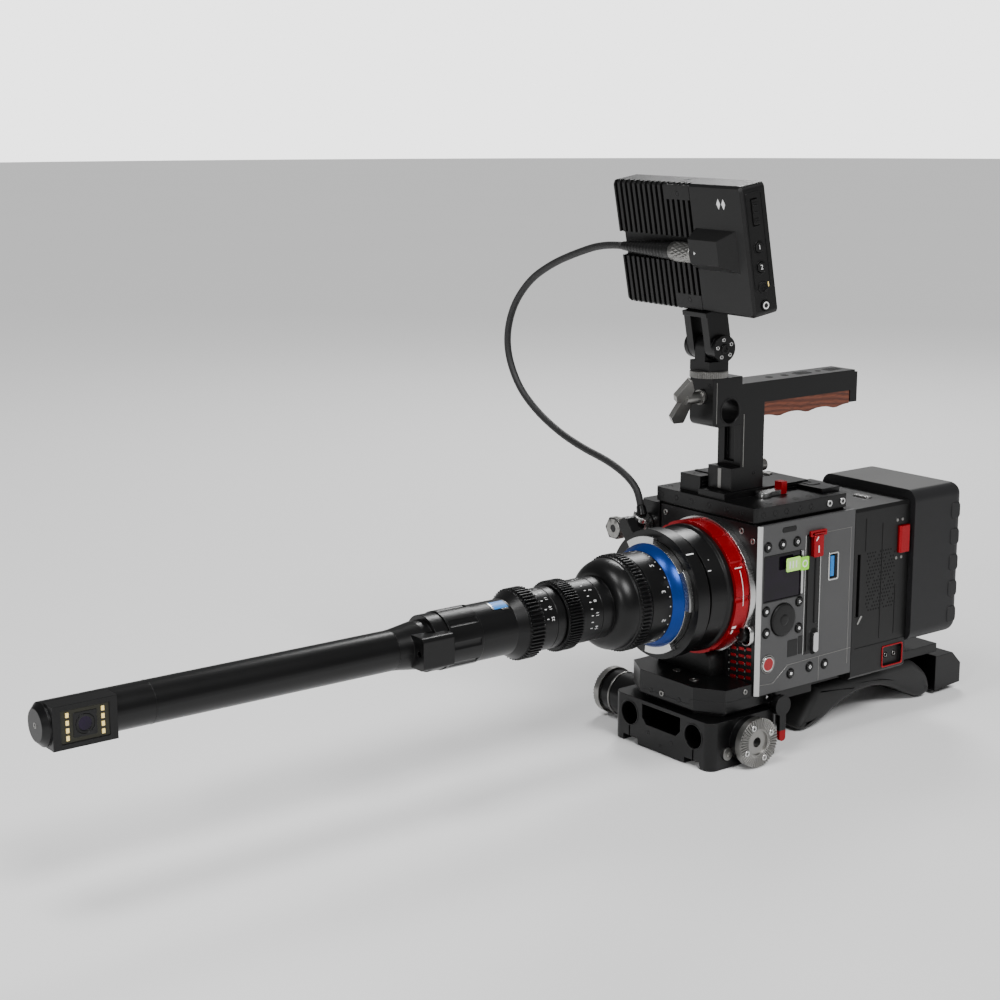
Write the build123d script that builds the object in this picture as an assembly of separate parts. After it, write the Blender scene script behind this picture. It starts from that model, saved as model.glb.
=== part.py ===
"""Cinema camera rig: a probe lens on a box camera with a base plate, shoulder pad,
top handle, field monitor and rear battery.

Millimetres. +Z is up, the lens points towards -Y and the operator's side is +X.
The origin is the mouth of the tripod thread in the base plate's underside.
"""
import math
import os

from build123d import *

# ---------------------------------------------------------------- shared fits
RUN_GAP = 0.3            # between pieces that move past each other
SHAFT_GAP = 0.06         # radial running clearance of a shaft in its bore
ROD_RADIUS = 7.5         # standard 15 mm support rod
ROD_FIT = 0.05           # radial clearance of a rod in its clamp

# ---------------------------------------------------------------- base plate
BASE_HALF_WIDTH = 45.5
BASE_LENGTH = 60.0
BASE_HEIGHT = 31.0
BASE_CORNER = 6.0
ROD_HALF_SPACING = 30.0
ROD_Z = 19.5
WINDOW_HALF_WIDTH = 18.0
WINDOW_FLOOR_Z = 15.5
WINDOW_ROOF_Z = 28.5
WINDOW_CHAMFER = 4.0
NOTCH_INNER_X = 22.0
NOTCH_OUTER_X = 36.0
NOTCH_DEPTH = 4.0
CLAMP_SLIT = 1.2
TRIPOD_THREAD_RADIUS = 4.0
TRIPOD_THREAD_DEPTH = 12.0
SMALL_THREAD_RADIUS = 2.6
SMALL_THREAD_OFFSET = 20.0
SMALL_THREAD_DEPTH = 10.0
ROSETTE_RADIUS = 15.9
ROSETTE_THICK = 4.5
ROSETTE_Z = 16.0
ROSETTE_BOSS_RADIUS = 14.5
ROSETTE_BOSS_RIGHT = 6.3
ROSETTE_ARM_LEFT = 34.0
ROSETTE_HOLE_RADIUS = 3.2
ROSETTE_DISH_RADIUS = 8.0
ROSETTE_DISH_DEPTH = 1.2
CLAMP_SCREW_RADIUS = 4.0
CLAMP_SCREW_HEAD = 2.2
CLAMP_SCREW_PROUD = 1.1
CLAMP_SCREW_Y = -16.5
CLAMP_SCREW_Z = 9.3
HEX_RADIUS = 1.7

# ---------------------------------------------------------------- quick release
PLATE_FRONT_Y = -27.0
PLATE_FRONT_HALF = 25.0
PLATE_HALF_WIDTH = 43.0
PLATE_CORNER_RUN = 10.5
RECEIVER_FOOT_Z = 34.5
RECEIVER_FOOT_INSET = 4.0
TONGUE_WIDE = 22.0
TONGUE_DEPTH = 4.0
RECEIVER_BACK_Y = 60.0
FRONT_PLATE_TOP_Z = 49.5
LEVER_Y = 26.8
LEVER_STEM_Z = 36.8
LEVER_STEM_LENGTH = 8.0
LEVER_BOSS_Z = 33.2
LEVER_BOSS_RADIUS = 6.6
LEVER_BOSS_GAP = 0.8
LEVER_BOSS_THICK = 4.6
LEVER_ARM_THICK = 2.6
LEVER_ARM_WIDTH = 5.4
LEVER_TIP_Z = 10.0
LEVER_TIP_GAP = 0.4

# ---------------------------------------------------------------- camera body
BODY_HALF_WIDTH = 46.0
BODY_FRONT_Y = 7.0
BODY_BACK_Y = 93.0
BODY_BOTTOM_Z = 41.6
BODY_TOP_Z = 151.0
BODY_WALL = 3.0
FRONT_THICK = 3.0
BODY_EDGE = 2.0
LENS_Z = 106.35
THROAT_RADIUS = 34.0
VENT_X = (20.0, 41.0)
VENT_Z = (48.0, 79.0)
VENT_DEPTH = 1.5
SIDE_PANEL_THICK = 2.5
SCREEN_Y = (11.8, 44.0)
SCREEN_Z = (102.0, 131.0)
SCREEN_THICK = 1.6
SCREEN_SINK = 0.4
JOG_Y, JOG_Z, JOG_RADIUS = 28.9, 88.5, 10.5
JOG_PROUD = 1.6
RECORD_Y, RECORD_Z, RECORD_RADIUS = 16.6, 61.5, 5.0
TOP_KEYS = ((14.2, 137.2), (27.0, 137.3), (39.9, 137.3))
JOG_KEYS = ((14.0, 96.0), (14.5, 81.9), (43.2, 98.0), (43.4, 80.6))
LOW_KEYS = ((37.2, 51.6), (54.5, 52.7), (68.5, 52.1))
KEY_RADIUS = 2.7
KEY_PROUD = 0.9
KEY_DEPTH = 4.0
DOOR_Y = (48.5, 61.0)
DOOR_Z = (62.0, 140.0)
DOOR_THICK = 1.6
DOOR_PIN_RADIUS = 0.5
DOOR_PIN_LENGTH = 1.2
LATCH_Y, LATCH_Z = 57.6, 69.0
LATCH_SIZE = (2.4, 4.4, 13.0)
LATCH_TRAVEL = 4.0
USB_Y = (70.0, 77.5)
USB_Z = (108.0, 124.5)
USB_DEPTH = 2.0
PORT_BLOCK_X = (-65.0, -33.0)
PORT_BLOCK_Y = (7.0, 31.0)
PORT_BLOCK_Z = (131.0, 151.0)
PORT_X, PORT_Z = -57.5, 136.0
PORT_RADIUS = 4.0
PORT_DEPTH = 8.0
SENSOR_SIZE = (38.0, 3.0, 30.0)
SENSOR_BOARD = (62.0, 4.0, 60.0)
SENSOR_FACE_Y = 26.0
KEY_FLANGE = 1.0

# ---------------------------------------------------------------- top plate
TOP_X = (-50.5, 42.0)
TOP_Y = (7.0, 90.0)
TOP_Z = 161.5
TOP_STEP_Z = 152.6
TOP_STEP_INSET = 2.0
RAIL_HALF = 12.0
RAIL_Z = 166.0
RAIL_Y = (9.0, 84.0)
SIDE_BLOCK_X = (-32.0, -13.5)
SIDE_BLOCK_Y = (12.0, 36.0)
SIDE_BLOCK_Z = 173.0
TOP_LEVER_PIVOT = (17.5, 38.0)
TOP_LEVER_LENGTH = 18.0

# ---------------------------------------------------------------- back module
BACK_Y = (93.4, 146.0)
BACK_Z = (36.0, 150.0)
BACK_WALL = 3.5
RELEASE_Y = (135.0, 145.0)
RELEASE_Z = (116.0, 134.0)
RELEASE_PROUD = 2.4
RELEASE_TRAVEL = 1.6
SLOT_Y = (96.5, 99.5)
SLOT_Z = (78.0, 120.0)
SOCKET_Y = (124.0, 143.0)
SOCKET_Z = (39.5, 53.0)
SOCKET_DEPTH = 2.0
SOCKET_HOLE = 2.0
BATTERY_Y = (146.4, 196.0)
BATTERY_Z = (53.0, 156.5)
BATTERY_X = (-33.0, 50.0)
BATTERY_EDGE = 8.0
SCALLOPS = 5
SCALLOP_RADIUS = 16.0
SCALLOP_DEPTH = 1.4
SHOE_HALF_WIDTH = 14.0
SHOE_THICK = 4.0
SHOE_HEIGHT = 42.0

# ---------------------------------------------------------------- shoulder pad
PAD_HALF_WIDTH = 27.0
PAD_TIP_Y = 74.5
PAD_TOP_FRONT = (82.5, 27.0)
PAD_ARCH = ((90.0, 3.6), (108.0, 11.5), (127.0, 16.5), (150.0, 15.5), (173.0, 6.8))
PAD_REAR_LOBE = (190.5, 0.0)
PAD_REAR = (199.0, 6.5)
PAD_REAR_TOP = (187.0, 24.0)
PAD_TOP_Z = 30.0
BRACKET_HALF_WIDTH = 24.0
BRACKET_Y = (62.0, 206.0)
BRACKET_Z = (30.0, 36.0)
REAR_BLOCK_Y = (202.5, 229.0)
REAR_BLOCK_Z = (2.5, 27.5)
REAR_BLOCK_CHAMFER = 9.0
REAR_BLOCK_HALF = 27.0

# ---------------------------------------------------------------- lens mount
FLANGE_RADIUS = 44.0
FLANGE_THICK = 4.5
SLEEVE_RADIUS = 38.0
SLEEVE_LENGTH = 11.5
LOCK_RING_RADIUS = 42.8
LOCK_RING_LENGTH = 10.9
ADAPTER_FRONT_Y = -39.0
ADAPTER_BORE = 27.0
ADAPTER_REAR_RADIUS = 40.8
ADAPTER_FRONT_RADIUS = 36.5
BREECH_RADIUS = 41.0
BREECH_LENGTH = 9.5
BREECH_SEAT_RADIUS = 34.5
BREECH_GRIP = (9.0, 7.0, 12.0)
BREECH_GRIP_ANGLE = 232.0

# ---------------------------------------------------------------- lens barrel
FLANGE_TAB_RADIUS = 37.2
FLANGE_RIM_RADIUS = 33.2
FLANGE_DISC_THICK = 3.6
FLANGE_TABS = 4
FLANGE_TAB_ANGLE = 40.0
FLANGE_TAB_TURN = 15.0
REAR_BARREL_RADIUS = 29.0
REAR_BARREL_LENGTH = 22.0
REAR_BORE = 22.0
CORE_RADIUS = 17.2
CORE_BORE = 12.0
FOCUS_LENGTH = 58.5
FOCUS_RADIUS = 19.5
REAR_GEAR_RADIUS = 30.3
REAR_GEAR_WIDTH = 10.5
FLARE_LENGTH = 12.0
SMALL_GEAR_RADIUS = 21.6
SMALL_GEAR_WIDTH = 11.5
IRIS_LENGTH = 28.4
IRIS_BAND_RADIUS = 18.8
CONE_LENGTH = 6.0
CONE_RADIUS = 20.3
COLLAR_RADIUS = 16.7
COLLAR_LENGTH = 25.0
NOSE_LENGTH = 7.0
NOSE_RADIUS = 12.6
NUT_RADIUS = 17.2
NUT_LENGTH = 22.4
NUT_FLUTES = 8
NUT_FLUTE_RADIUS = 5.0
NUT_FLUTE_DEPTH = 0.7

# ---------------------------------------------------------------- probe
PROBE_COLLAR_RADIUS = 16.6
PROBE_COLLAR_LENGTH = 9.0
PROBE_STEP_RADIUS = 13.9
PROBE_STEP_LENGTH = 6.0
PROBE_FLARE_LENGTH = 16.0
PROBE_RADIUS = 11.6
PROBE_BORE = 9.6
PROBE_TUBE_LENGTH = 173.0
HEAD_LENGTH = 35.0
HEAD_FLAT_X = 12.2
HEAD_HALF_HEIGHT = 11.5
HEAD_NOSE = 4.0
FACE_FRAME = (26.5, 17.5)
FACE_SINK = 0.6
WINDOW_RADIUS = 5.0
WINDOW_THICK = 2.2
LED_SIZE = (0.8, 1.6, 2.4)
LED_COLUMN = 9.6
LED_PITCH = 4.0
LED_COUNT = 4
SOCKET_BLOCK_Y = (-229.0, -208.0)
SOCKET_BLOCK_X = (9.0, 21.5)
SOCKET_BLOCK_HALF = 9.5
ELEMENT_STATIONS = ((-60.0, 22.0, 6.0), (-50.0, 22.0, 4.0), (-96.0, 12.0, 4.0), (-136.0, 12.0, 4.0))

# ---------------------------------------------------------------- handle
HANDLE_HALF = 10.5
FOOT_Y = (16.0, 44.0)
FOOT_TOP_Z = 181.0
POST_Y = (24.0, 44.0)
BAR_Z = (221.0, 234.3)
BAR_BACK_Y = 127.0
BAR_CAP_Y = 129.5
BAR_CAP_Z = 213.0
BLOCK_Y = (-1.0, 24.0)
BLOCK_Z = (208.6, 239.3)
BLOCK_CORNER = 5.0
HANDLE_ROD_Y, HANDLE_ROD_Z = 13.8, 218.0
POST_SLOT = (9.0, 2.5)
POST_SLOT_Z = (184.0, 206.0)
WOOD_Y = (44.4, 122.5)
WOOD_Z = (210.8, 221.0)
WOOD_LOBES = 3
WOOD_LOBE_DEPTH = 1.6
WOOD_INSET = 0.4
WING_HUB_RADIUS = 3.7
WING_FLANGE_RADIUS = 4.8
WING_X, WING_Z = 0.3, 227.3
WING_LENGTH = 15.0
WING_FLANGE = 2.0
WING_THICK = 3.4
WING_TILT = 30.0
WING_LONG = ((-9.0, 1.0), (-9.0, -18.2), (-17.5, -17.8), (-21.3, -13.3), (-18.5, 1.0))
WING_SHORT = ((-11.5, -1.0), (-12.5, 8.0), (-18.6, 16.6), (-25.5, 4.0), (-22.6, -1.0))
THUMB_Z = 178.0
THUMB_RADIUS = 4.2
THUMB_LENGTH = 11.0

# ---------------------------------------------------------------- monitor
PAN_Y = 5.0
PAN_RING_RADIUS = 11.8
PAN_RING_HEIGHT = 4.4
TILT_Z = 258.5
TILT_DEG = 10.0
PAN_DEG = -4.7
HINGE_BLOCK = (9.7, 7.5)
HINGE_RADIUS = 8.0
TONGUE_HALF = 5.0
LUG_OUTER = 11.6
DISC_RADIUS = 8.3
NECK_HALF = (11.6, 8.9)
NECK_PLATE = 3.0
CASE_SIZE = (127.0, 17.7, 79.0)
CASE_CENTRE = (-8.4, 2.5, 63.6)
NECK_TOP = CASE_CENTRE[2] - CASE_SIZE[2] / 2
CASE_EDGE = 3.4
RIB_COUNT = 15
RIB_START = 3.0
RIB_PITCH = 5.2
RIB_GROOVE = (2.6, 3.6)
BAY_LOW, BAY_HIGH = 9.2, 6.4
HUMP_X = (8.5, 51.5)
HUMP_HALF = (15.5, 7.5)
HUMP_HEIGHT = 7.0
HUMP_TOP_RUN = 27.0
SCREEN_BORDER = (7.0, 7.0)
SCREEN_GLASS = 1.2
SIDE_KEY_RADIUS = 3.0
SIDE_KEY_PROUD = 0.8
SIDE_KEY_DEPTH = 3.0
SIDE_KEYS = {"monitor_key_one": 2.0, "monitor_key_two": -10.0, "monitor_power_key": -33.0}
ROCKER_Z = 23.0
ROCKER_SIZE = (2.4, 4.4, 15.0)
VIDEO_PLUG_RADIUS = 6.2
VIDEO_PLUG_LENGTH = 22.0
VIDEO_AXIS_Y = -8.2
VIDEO_AXIS_DROP = 2.4     # the socket sits below the case's middle
VIDEO_BOOT_LENGTH = 52.0
VIDEO_SOCKET = (4.0, 6.0)

# ---------------------------------------------------------------- cable
CABLE_RADIUS = 2.4
ELBOW_RADIUS = 5.6
ELBOW_LENGTH = 30.0
ELBOW_NUT = (7.6, 6.0)
COLLET_RADIUS = 5.2
COLLET_LENGTH = 7.5
COLLET_LEAN_DEG = 28.0
CAMERA_BOOT_RADIUS = 3.6
VIDEO_PLUG_CHAMFER = 1.0
VIDEO_BOOT_STEP = 1.2
BOOT_LIP = 0.5
ARC_SHARE = 0.45
CABLE_CORNERS = (
    (-117.5, -6.8, 309.2), (-143.0, -6.2, 300.5), (-168.5, -5.6, 287.5),
    (-188.5, -5.1, 266.5), (-196.0, -4.4, 240.0), (-184.5, -3.7, 214.5), (-164.0, -3.2, 198.2),
    (-139.0, -2.6, 186.2), (-114.0, -2.1, 178.6), (-88.5, -1.6, 173.6), (-71.0, -1.2, 167.2),
    (-61.2, -1.0, 160.6),
)
CABLE_END = (-55.6, 148.4)
CABLE_LEADS = (21.0, 6.6)     # straight runs at the two boots


# ---------------------------------------------------------------- small features
HEX_DEPTH = 1.2
STEM_RADIUS = 2.0
STEM_LENGTH = 6.0
KEY_ROUND = 0.5
JOG_AXLE = 2.0
JOG_SINK = 1.6
JOG_ROUND = 1.0
JOG_DIMPLE = 3.0
JOG_DIMPLE_OFFSET = 4.5
DOOR_LEDGE = 1.5
CARD_Z = (78.0, 134.0)
LATCH_ROUND_GAP = 0.2
LATCH_STEM_INSET = 1.2
LATCH_STEM_DEPTH = 1.0
PILLAR_INSET = 3.0
PILLAR_RADIUS = 2.0
PORT_CHAMFER = 3.0
TOP_CORNER = 2.0
REAR_PAD_X = (-30.0, 34.0)
REAR_PAD_Y = (74.0, 90.0)
REAR_PAD_Z = 164.5
TOP_LEVER_THICK = 3.0
TOP_LEVER_HUB = 5.0
TOP_LEVER_HALF = 3.0
TOP_LEVER_TIP = 5.0
TOP_LEVER_POST = 5.0
BACK_EDGE = 2.0
RELEASE_DEPTH = 3.2
RELEASE_CHAMFER = 1.2
SLOT_DEPTH = 2.5
SHOE_FLARE = 3.0
PAD_BACK_RUN = 12.0
PAD_FRONT_LEAN = 0.6
PAD_TOE = 7.0
PAD_TOE_Z = 5.0
REAR_NECK_HALF = 10.0
LOCK_NOTCHES = 12
LOCK_NOTCH_RADIUS = 2.4
LOCK_NOTCH_DEPTH = 0.9
SPIGOT_LENGTH = 10.0
ADAPTER_RIM = 3.0
ADAPTER_STEP = 1.5
ADAPTER_RIDGES = 4.0
BREECH_GRIP_ROUND = 2.5
NOSE_WALL = 2.4
FLARE_STEPS = 6
REAR_BARREL_WALL = 3.0
NUT_RIM = 1.5
SOCKET_BLOCK_ROUND = 2.5
SOCKET_JACK_X = (14.5, 20.0)
SOCKET_JACK_DEPTH = 6.0
SOCKET_JACK_RADIUS = 1.8
LED_SINK = 0.1
BAR_CAP_THICK = 6.5
BAR_CAP_DROP = 1.5
BLOCK_STEM = 5.0
PAN_STEM_RADIUS = 3.0
WOOD_LOBE_RADIUS = 40.0
WING_ROUND = 0.9
THUMB_ROUND = 1.0
HINGE_CLEAR = 0.6
PIN_RADIUS = 3.0
DISC_OUTER = 15.0
CASE_BEVEL = 1.5
CASE_WALL = 2.0
RIB_PAD_X = (-18.0, 6.0)
RIB_PAD_HEIGHT = 10.0
BAY_DEPTH = 5.2
THREAD_BOSS = 8.0
ROCKER_POCKET = 3.0
ELBOW_OUT = 8.0


# ================================================================ helpers
def block(x, y, z):
    """Box between two corners, each range given as (low, high)."""
    size = (x[1] - x[0], y[1] - y[0], z[1] - z[0])
    centre = ((x[0] + x[1]) / 2, (y[0] + y[1]) / 2, (z[0] + z[1]) / 2)
    return Pos(*centre) * Box(*size)


def grown(span):
    """A range with the running gap added at both ends."""
    return span[0] - RUN_GAP, span[1] + RUN_GAP


def rod_x(x, y, z, radius):
    """Cylinder along X between x[0] and x[1]."""
    middle = (x[0] + x[1]) / 2
    return Pos(middle, y, z) * Rot(0, 90, 0) * Cylinder(radius, x[1] - x[0])


def rod_y(x, y, z, radius):
    """Cylinder along Y between y[0] and y[1]."""
    middle = (y[0] + y[1]) / 2
    return Pos(x, middle, z) * Rot(90, 0, 0) * Cylinder(radius, y[1] - y[0])


def rod_z(x, y, z, radius):
    """Cylinder along Z between z[0] and z[1]."""
    middle = (z[0] + z[1]) / 2
    return Pos(x, y, middle) * Cylinder(radius, z[1] - z[0])


def turned(points):
    """Solid of revolution about the lens axis from (station, radius) corners."""
    face = make_face(Polyline(*[(radius, station) for station, radius in points], close=True))
    return Pos(0, 0, LENS_Z) * revolve(face, Axis.Y, 360)


def ring(y, outer, inner):
    """Plain ring about the lens axis."""
    return turned([(y[0], inner), (y[1], inner), (y[1], outer), (y[0], outer)])


def side_profile(points, half_width):
    """Extrude a (y, z) outline across the width, centred on X = 0."""
    face = make_face(Polyline(*[(y, z) for y, z in points], close=True))
    face = Plane.YZ * face
    return Pos(-half_width, 0, 0) * extrude(face, 2 * half_width, dir=(1, 0, 0))


def upright_edges(shape):
    return shape.edges().filter_by(Axis.Z)


def on_monitor(shape):
    """Place a piece drawn upright about the tilt pivot into its resting tilt and pan."""
    return Pos(0, PAN_Y, TILT_Z) * Rot(0, 0, PAN_DEG) * Rot(TILT_DEG, 0, 0) * shape


def on_pan(shape):
    """Place a piece drawn about the pan axis into its resting pan."""
    return Pos(0, PAN_Y, 0) * Rot(0, 0, PAN_DEG) * shape


NODES = {}


def keep(name, shape):
    NODES[name] = shape
    return shape


# ================================================================ base plate
def base_plate():
    back_y = BASE_LENGTH / 2 - 1
    front_y = back_y - BASE_LENGTH
    body = block((-BASE_HALF_WIDTH, BASE_HALF_WIDTH), (front_y, back_y), (0, BASE_HEIGHT))
    body = fillet(upright_edges(body), BASE_CORNER)
    window = block((-WINDOW_HALF_WIDTH, WINDOW_HALF_WIDTH), (front_y - 1, back_y + 1),
                   (WINDOW_FLOOR_Z, WINDOW_ROOF_Z))
    window = chamfer(window.edges().filter_by(Axis.Y).sort_by(Axis.Z)[:2], WINDOW_CHAMFER)
    body -= window
    for side in (-1, 1):
        body -= rod_y(side * ROD_HALF_SPACING, (front_y - 1, back_y + 1), ROD_Z, ROD_RADIUS + ROD_FIT)
        notch_x = sorted((side * NOTCH_INNER_X, side * NOTCH_OUTER_X))
        body -= block(notch_x, (front_y - 1, back_y + 1), (-1, NOTCH_DEPTH))
        slit = side * ROD_HALF_SPACING
        body -= block((slit - CLAMP_SLIT / 2, slit + CLAMP_SLIT / 2), (front_y - 1, back_y + 1),
                      (NOTCH_DEPTH - 1, ROD_Z))
        body += rod_x(sorted((side * BASE_HALF_WIDTH, side * (BASE_HALF_WIDTH + rosette_reach(side)))),
                      0, ROSETTE_Z, ROSETTE_BOSS_RADIUS)
        body -= rod_z(0, side * SMALL_THREAD_OFFSET, (-1, SMALL_THREAD_DEPTH), SMALL_THREAD_RADIUS)
    body -= rod_z(0, 0, (-1, TRIPOD_THREAD_DEPTH), TRIPOD_THREAD_RADIUS)
    seat = BASE_HALF_WIDTH - CLAMP_SCREW_HEAD
    body -= rod_x((seat, BASE_HALF_WIDTH + 2 * CLAMP_SCREW_PROUD), CLAMP_SCREW_Y, CLAMP_SCREW_Z,
                  CLAMP_SCREW_RADIUS + RUN_GAP)
    body -= rod_x((seat - STEM_LENGTH, seat + 1), CLAMP_SCREW_Y, CLAMP_SCREW_Z, STEM_RADIUS + SHAFT_GAP)
    keep("base_plate", body)


def rosette_reach(side):
    return ROSETTE_BOSS_RIGHT if side > 0 else ROSETTE_ARM_LEFT


def rosettes():
    """The two toothed accessory rosettes, one on each end of the base plate."""
    solids = []
    for side in (-1, 1):
        inner = side * (BASE_HALF_WIDTH + rosette_reach(side))
        outer = inner + side * ROSETTE_THICK
        disc = rod_x(sorted((inner, outer)), 0, ROSETTE_Z, ROSETTE_RADIUS)
        dish = sorted((outer - side * ROSETTE_DISH_DEPTH, outer + side))
        disc -= rod_x(dish, 0, ROSETTE_Z, ROSETTE_DISH_RADIUS)
        disc -= rod_x(sorted((inner - side, outer + side)), 0, ROSETTE_Z, ROSETTE_HOLE_RADIUS)
        solids.append(disc)
    keep("rosettes", Compound(children=solids))


def clamp_screw():
    """Socket screw that closes the rod clamp, let into the plate's right side."""
    x = (BASE_HALF_WIDTH - CLAMP_SCREW_HEAD + RUN_GAP, BASE_HALF_WIDTH + CLAMP_SCREW_PROUD)
    head = rod_x(x, CLAMP_SCREW_Y, CLAMP_SCREW_Z, CLAMP_SCREW_RADIUS)
    head += rod_x((x[0] - STEM_LENGTH, x[0]), CLAMP_SCREW_Y, CLAMP_SCREW_Z, STEM_RADIUS)
    key = Rot(0, 90, 0) * extrude(RegularPolygon(HEX_RADIUS, 6), HEX_DEPTH + 1)
    head -= Pos(x[1] - HEX_DEPTH, CLAMP_SCREW_Y, CLAMP_SCREW_Z) * key
    keep("rod_clamp_screw", head)


# ================================================================ quick release
def plate_outline(half, front_half, front_y, back_y, corner):
    return Polyline((-front_half, front_y), (front_half, front_y), (half, front_y + corner),
                    (half, back_y), (-half, back_y), (-half, front_y + corner), close=True)


def quick_release():
    """Receiver on the base plate, and the camera plate whose tongue slides into it."""
    outline = plate_outline(PLATE_HALF_WIDTH, PLATE_FRONT_HALF, PLATE_FRONT_Y, RECEIVER_BACK_Y,
                            PLATE_CORNER_RUN)
    receiver = Pos(0, 0, RECEIVER_FOOT_Z) * extrude(make_face(outline), BODY_BOTTOM_Z - RECEIVER_FOOT_Z)
    inset = RECEIVER_FOOT_INSET
    foot = plate_outline(PLATE_HALF_WIDTH - inset, PLATE_FRONT_HALF - inset, PLATE_FRONT_Y + inset,
                         BASE_LENGTH / 2 - inset, PLATE_CORNER_RUN)
    receiver += Pos(0, 0, BASE_HEIGHT) * extrude(make_face(foot), RECEIVER_FOOT_Z - BASE_HEIGHT)
    channel = (BODY_BOTTOM_Z - TONGUE_DEPTH, BODY_BOTTOM_Z + 1)
    receiver -= block((-TONGUE_WIDE, TONGUE_WIDE), (PLATE_FRONT_Y - 1, RECEIVER_BACK_Y + 1), channel)
    stem = (PLATE_HALF_WIDTH - LEVER_STEM_LENGTH - RUN_GAP, PLATE_HALF_WIDTH + 1)
    receiver -= rod_x(stem, LEVER_Y, LEVER_STEM_Z, STEM_RADIUS + SHAFT_GAP)
    keep("plate_receiver", receiver)
    plate = block((-TONGUE_WIDE, TONGUE_WIDE), (PLATE_FRONT_Y, RECEIVER_BACK_Y), (channel[0], BODY_BOTTOM_Z))
    outline = plate_outline(PLATE_HALF_WIDTH, PLATE_FRONT_HALF, PLATE_FRONT_Y, BODY_FRONT_Y,
                            PLATE_CORNER_RUN)
    plate += Pos(0, 0, BODY_BOTTOM_Z) * extrude(make_face(outline), FRONT_PLATE_TOP_Z - BODY_BOTTOM_Z)
    keep("camera_plate", plate)


def plate_lock_lever():
    """Cam lever that clamps the camera plate: a round boss on the right, its arm hanging down."""
    x = (BASE_HALF_WIDTH + LEVER_BOSS_GAP, BASE_HALF_WIDTH + LEVER_BOSS_GAP + LEVER_BOSS_THICK)
    lever = rod_x(x, LEVER_Y, LEVER_BOSS_Z, LEVER_BOSS_RADIUS)
    lever += rod_x((PLATE_HALF_WIDTH - LEVER_STEM_LENGTH, x[0]), LEVER_Y, LEVER_STEM_Z, STEM_RADIUS)
    arm_x = (x[1] - LEVER_ARM_THICK, x[1])
    half = LEVER_ARM_WIDTH / 2
    arm = block(arm_x, (LEVER_Y - half, LEVER_Y + half), (LEVER_TIP_Z, LEVER_BOSS_Z))
    lever += fillet(arm.edges().filter_by(Axis.X).group_by(Axis.Z)[0], half - LEVER_TIP_GAP)
    keep("plate_lock_lever", lever)


# ================================================================ camera body
def key_places():
    """Every push key on the operator's side: name -> (y, z, radius)."""
    places = {"record_key": (RECORD_Y, RECORD_Z, RECORD_RADIUS)}
    for group, centres in (("menu_key", TOP_KEYS), ("dial_key", JOG_KEYS), ("function_key", LOW_KEYS)):
        for number, (y, z) in enumerate(centres, 1):
            places[f"{group}_{number}"] = (y, z, KEY_RADIUS)
    return places


def front_plate():
    plate = block((-BODY_HALF_WIDTH, BODY_HALF_WIDTH), (BODY_FRONT_Y, BODY_FRONT_Y + FRONT_THICK),
                  (BODY_BOTTOM_Z, BODY_TOP_Z))
    front = plate.edges().group_by(Axis.Y)[0]
    plate = chamfer(front.filter_by(Axis.Z), BODY_EDGE)
    plate -= ring((BODY_FRONT_Y - 1, BODY_FRONT_Y + FRONT_THICK + 1), THROAT_RADIUS, 0)
    plate -= block(VENT_X, (BODY_FRONT_Y - 1, BODY_FRONT_Y + VENT_DEPTH), VENT_Z)
    keep("front_plate", plate)


def body_shell():
    outer = block((-BODY_HALF_WIDTH, BODY_HALF_WIDTH - SIDE_PANEL_THICK),
                  (BODY_FRONT_Y + FRONT_THICK, BODY_BACK_Y), (BODY_BOTTOM_Z, BODY_TOP_Z))
    inner = block((-BODY_HALF_WIDTH + BODY_WALL, BODY_HALF_WIDTH),
                  (BODY_FRONT_Y, BODY_BACK_Y - BODY_WALL),
                  (BODY_BOTTOM_Z + BODY_WALL, BODY_TOP_Z - BODY_WALL))
    shell = outer - inner
    arm = block((PORT_BLOCK_X[0], -BODY_HALF_WIDTH), PORT_BLOCK_Y, PORT_BLOCK_Z)
    arm = chamfer(arm.edges().filter_by(Axis.Z).group_by(Axis.X)[0], PORT_CHAMFER)
    arm -= rod_y(PORT_X, (PORT_BLOCK_Y[0] - 1, PORT_BLOCK_Y[0] + PORT_DEPTH), PORT_Z, PORT_RADIUS)
    keep("body_shell", shell + arm)


def side_panel():
    """Operator's side wall with its screen pocket, dial pocket, key holes and card slot."""
    x = (BODY_HALF_WIDTH - SIDE_PANEL_THICK, BODY_HALF_WIDTH)
    panel = block(x, (BODY_FRONT_Y + FRONT_THICK, BODY_BACK_Y), (BODY_BOTTOM_Z, BODY_TOP_Z))
    cut = (x[0] - 1, x[1] + 1)
    for y, z, radius in key_places().values():
        panel -= rod_x(cut, y, z, radius + RUN_GAP)
    panel -= block((x[1] - SCREEN_THICK - SCREEN_SINK, cut[1]), SCREEN_Y, SCREEN_Z)
    panel -= rod_x(cut, JOG_Y, JOG_Z, JOG_AXLE + SHAFT_GAP)
    panel -= rod_x((x[1] - JOG_SINK, cut[1]), JOG_Y, JOG_Z, JOG_RADIUS + RUN_GAP)
    panel -= block((x[1] - DOOR_THICK - RUN_GAP, cut[1]), grown(DOOR_Y), grown(DOOR_Z))
    panel -= block(cut, (DOOR_Y[0] + DOOR_LEDGE, DOOR_Y[1] - DOOR_LEDGE), CARD_Z)
    panel -= block((x[1] - USB_DEPTH, cut[1]), USB_Y, USB_Z)
    pivot = door_pivot()
    reach = DOOR_PIN_LENGTH + RUN_GAP
    panel -= rod_z(*pivot, (DOOR_Z[0] - reach, DOOR_Z[1] + reach), DOOR_PIN_RADIUS + SHAFT_GAP)
    keep("side_panel", panel)
    glass = block((x[1] - SCREEN_THICK - SCREEN_SINK, x[1] - SCREEN_SINK), SCREEN_Y, SCREEN_Z)
    keep("side_screen", glass)


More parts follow.
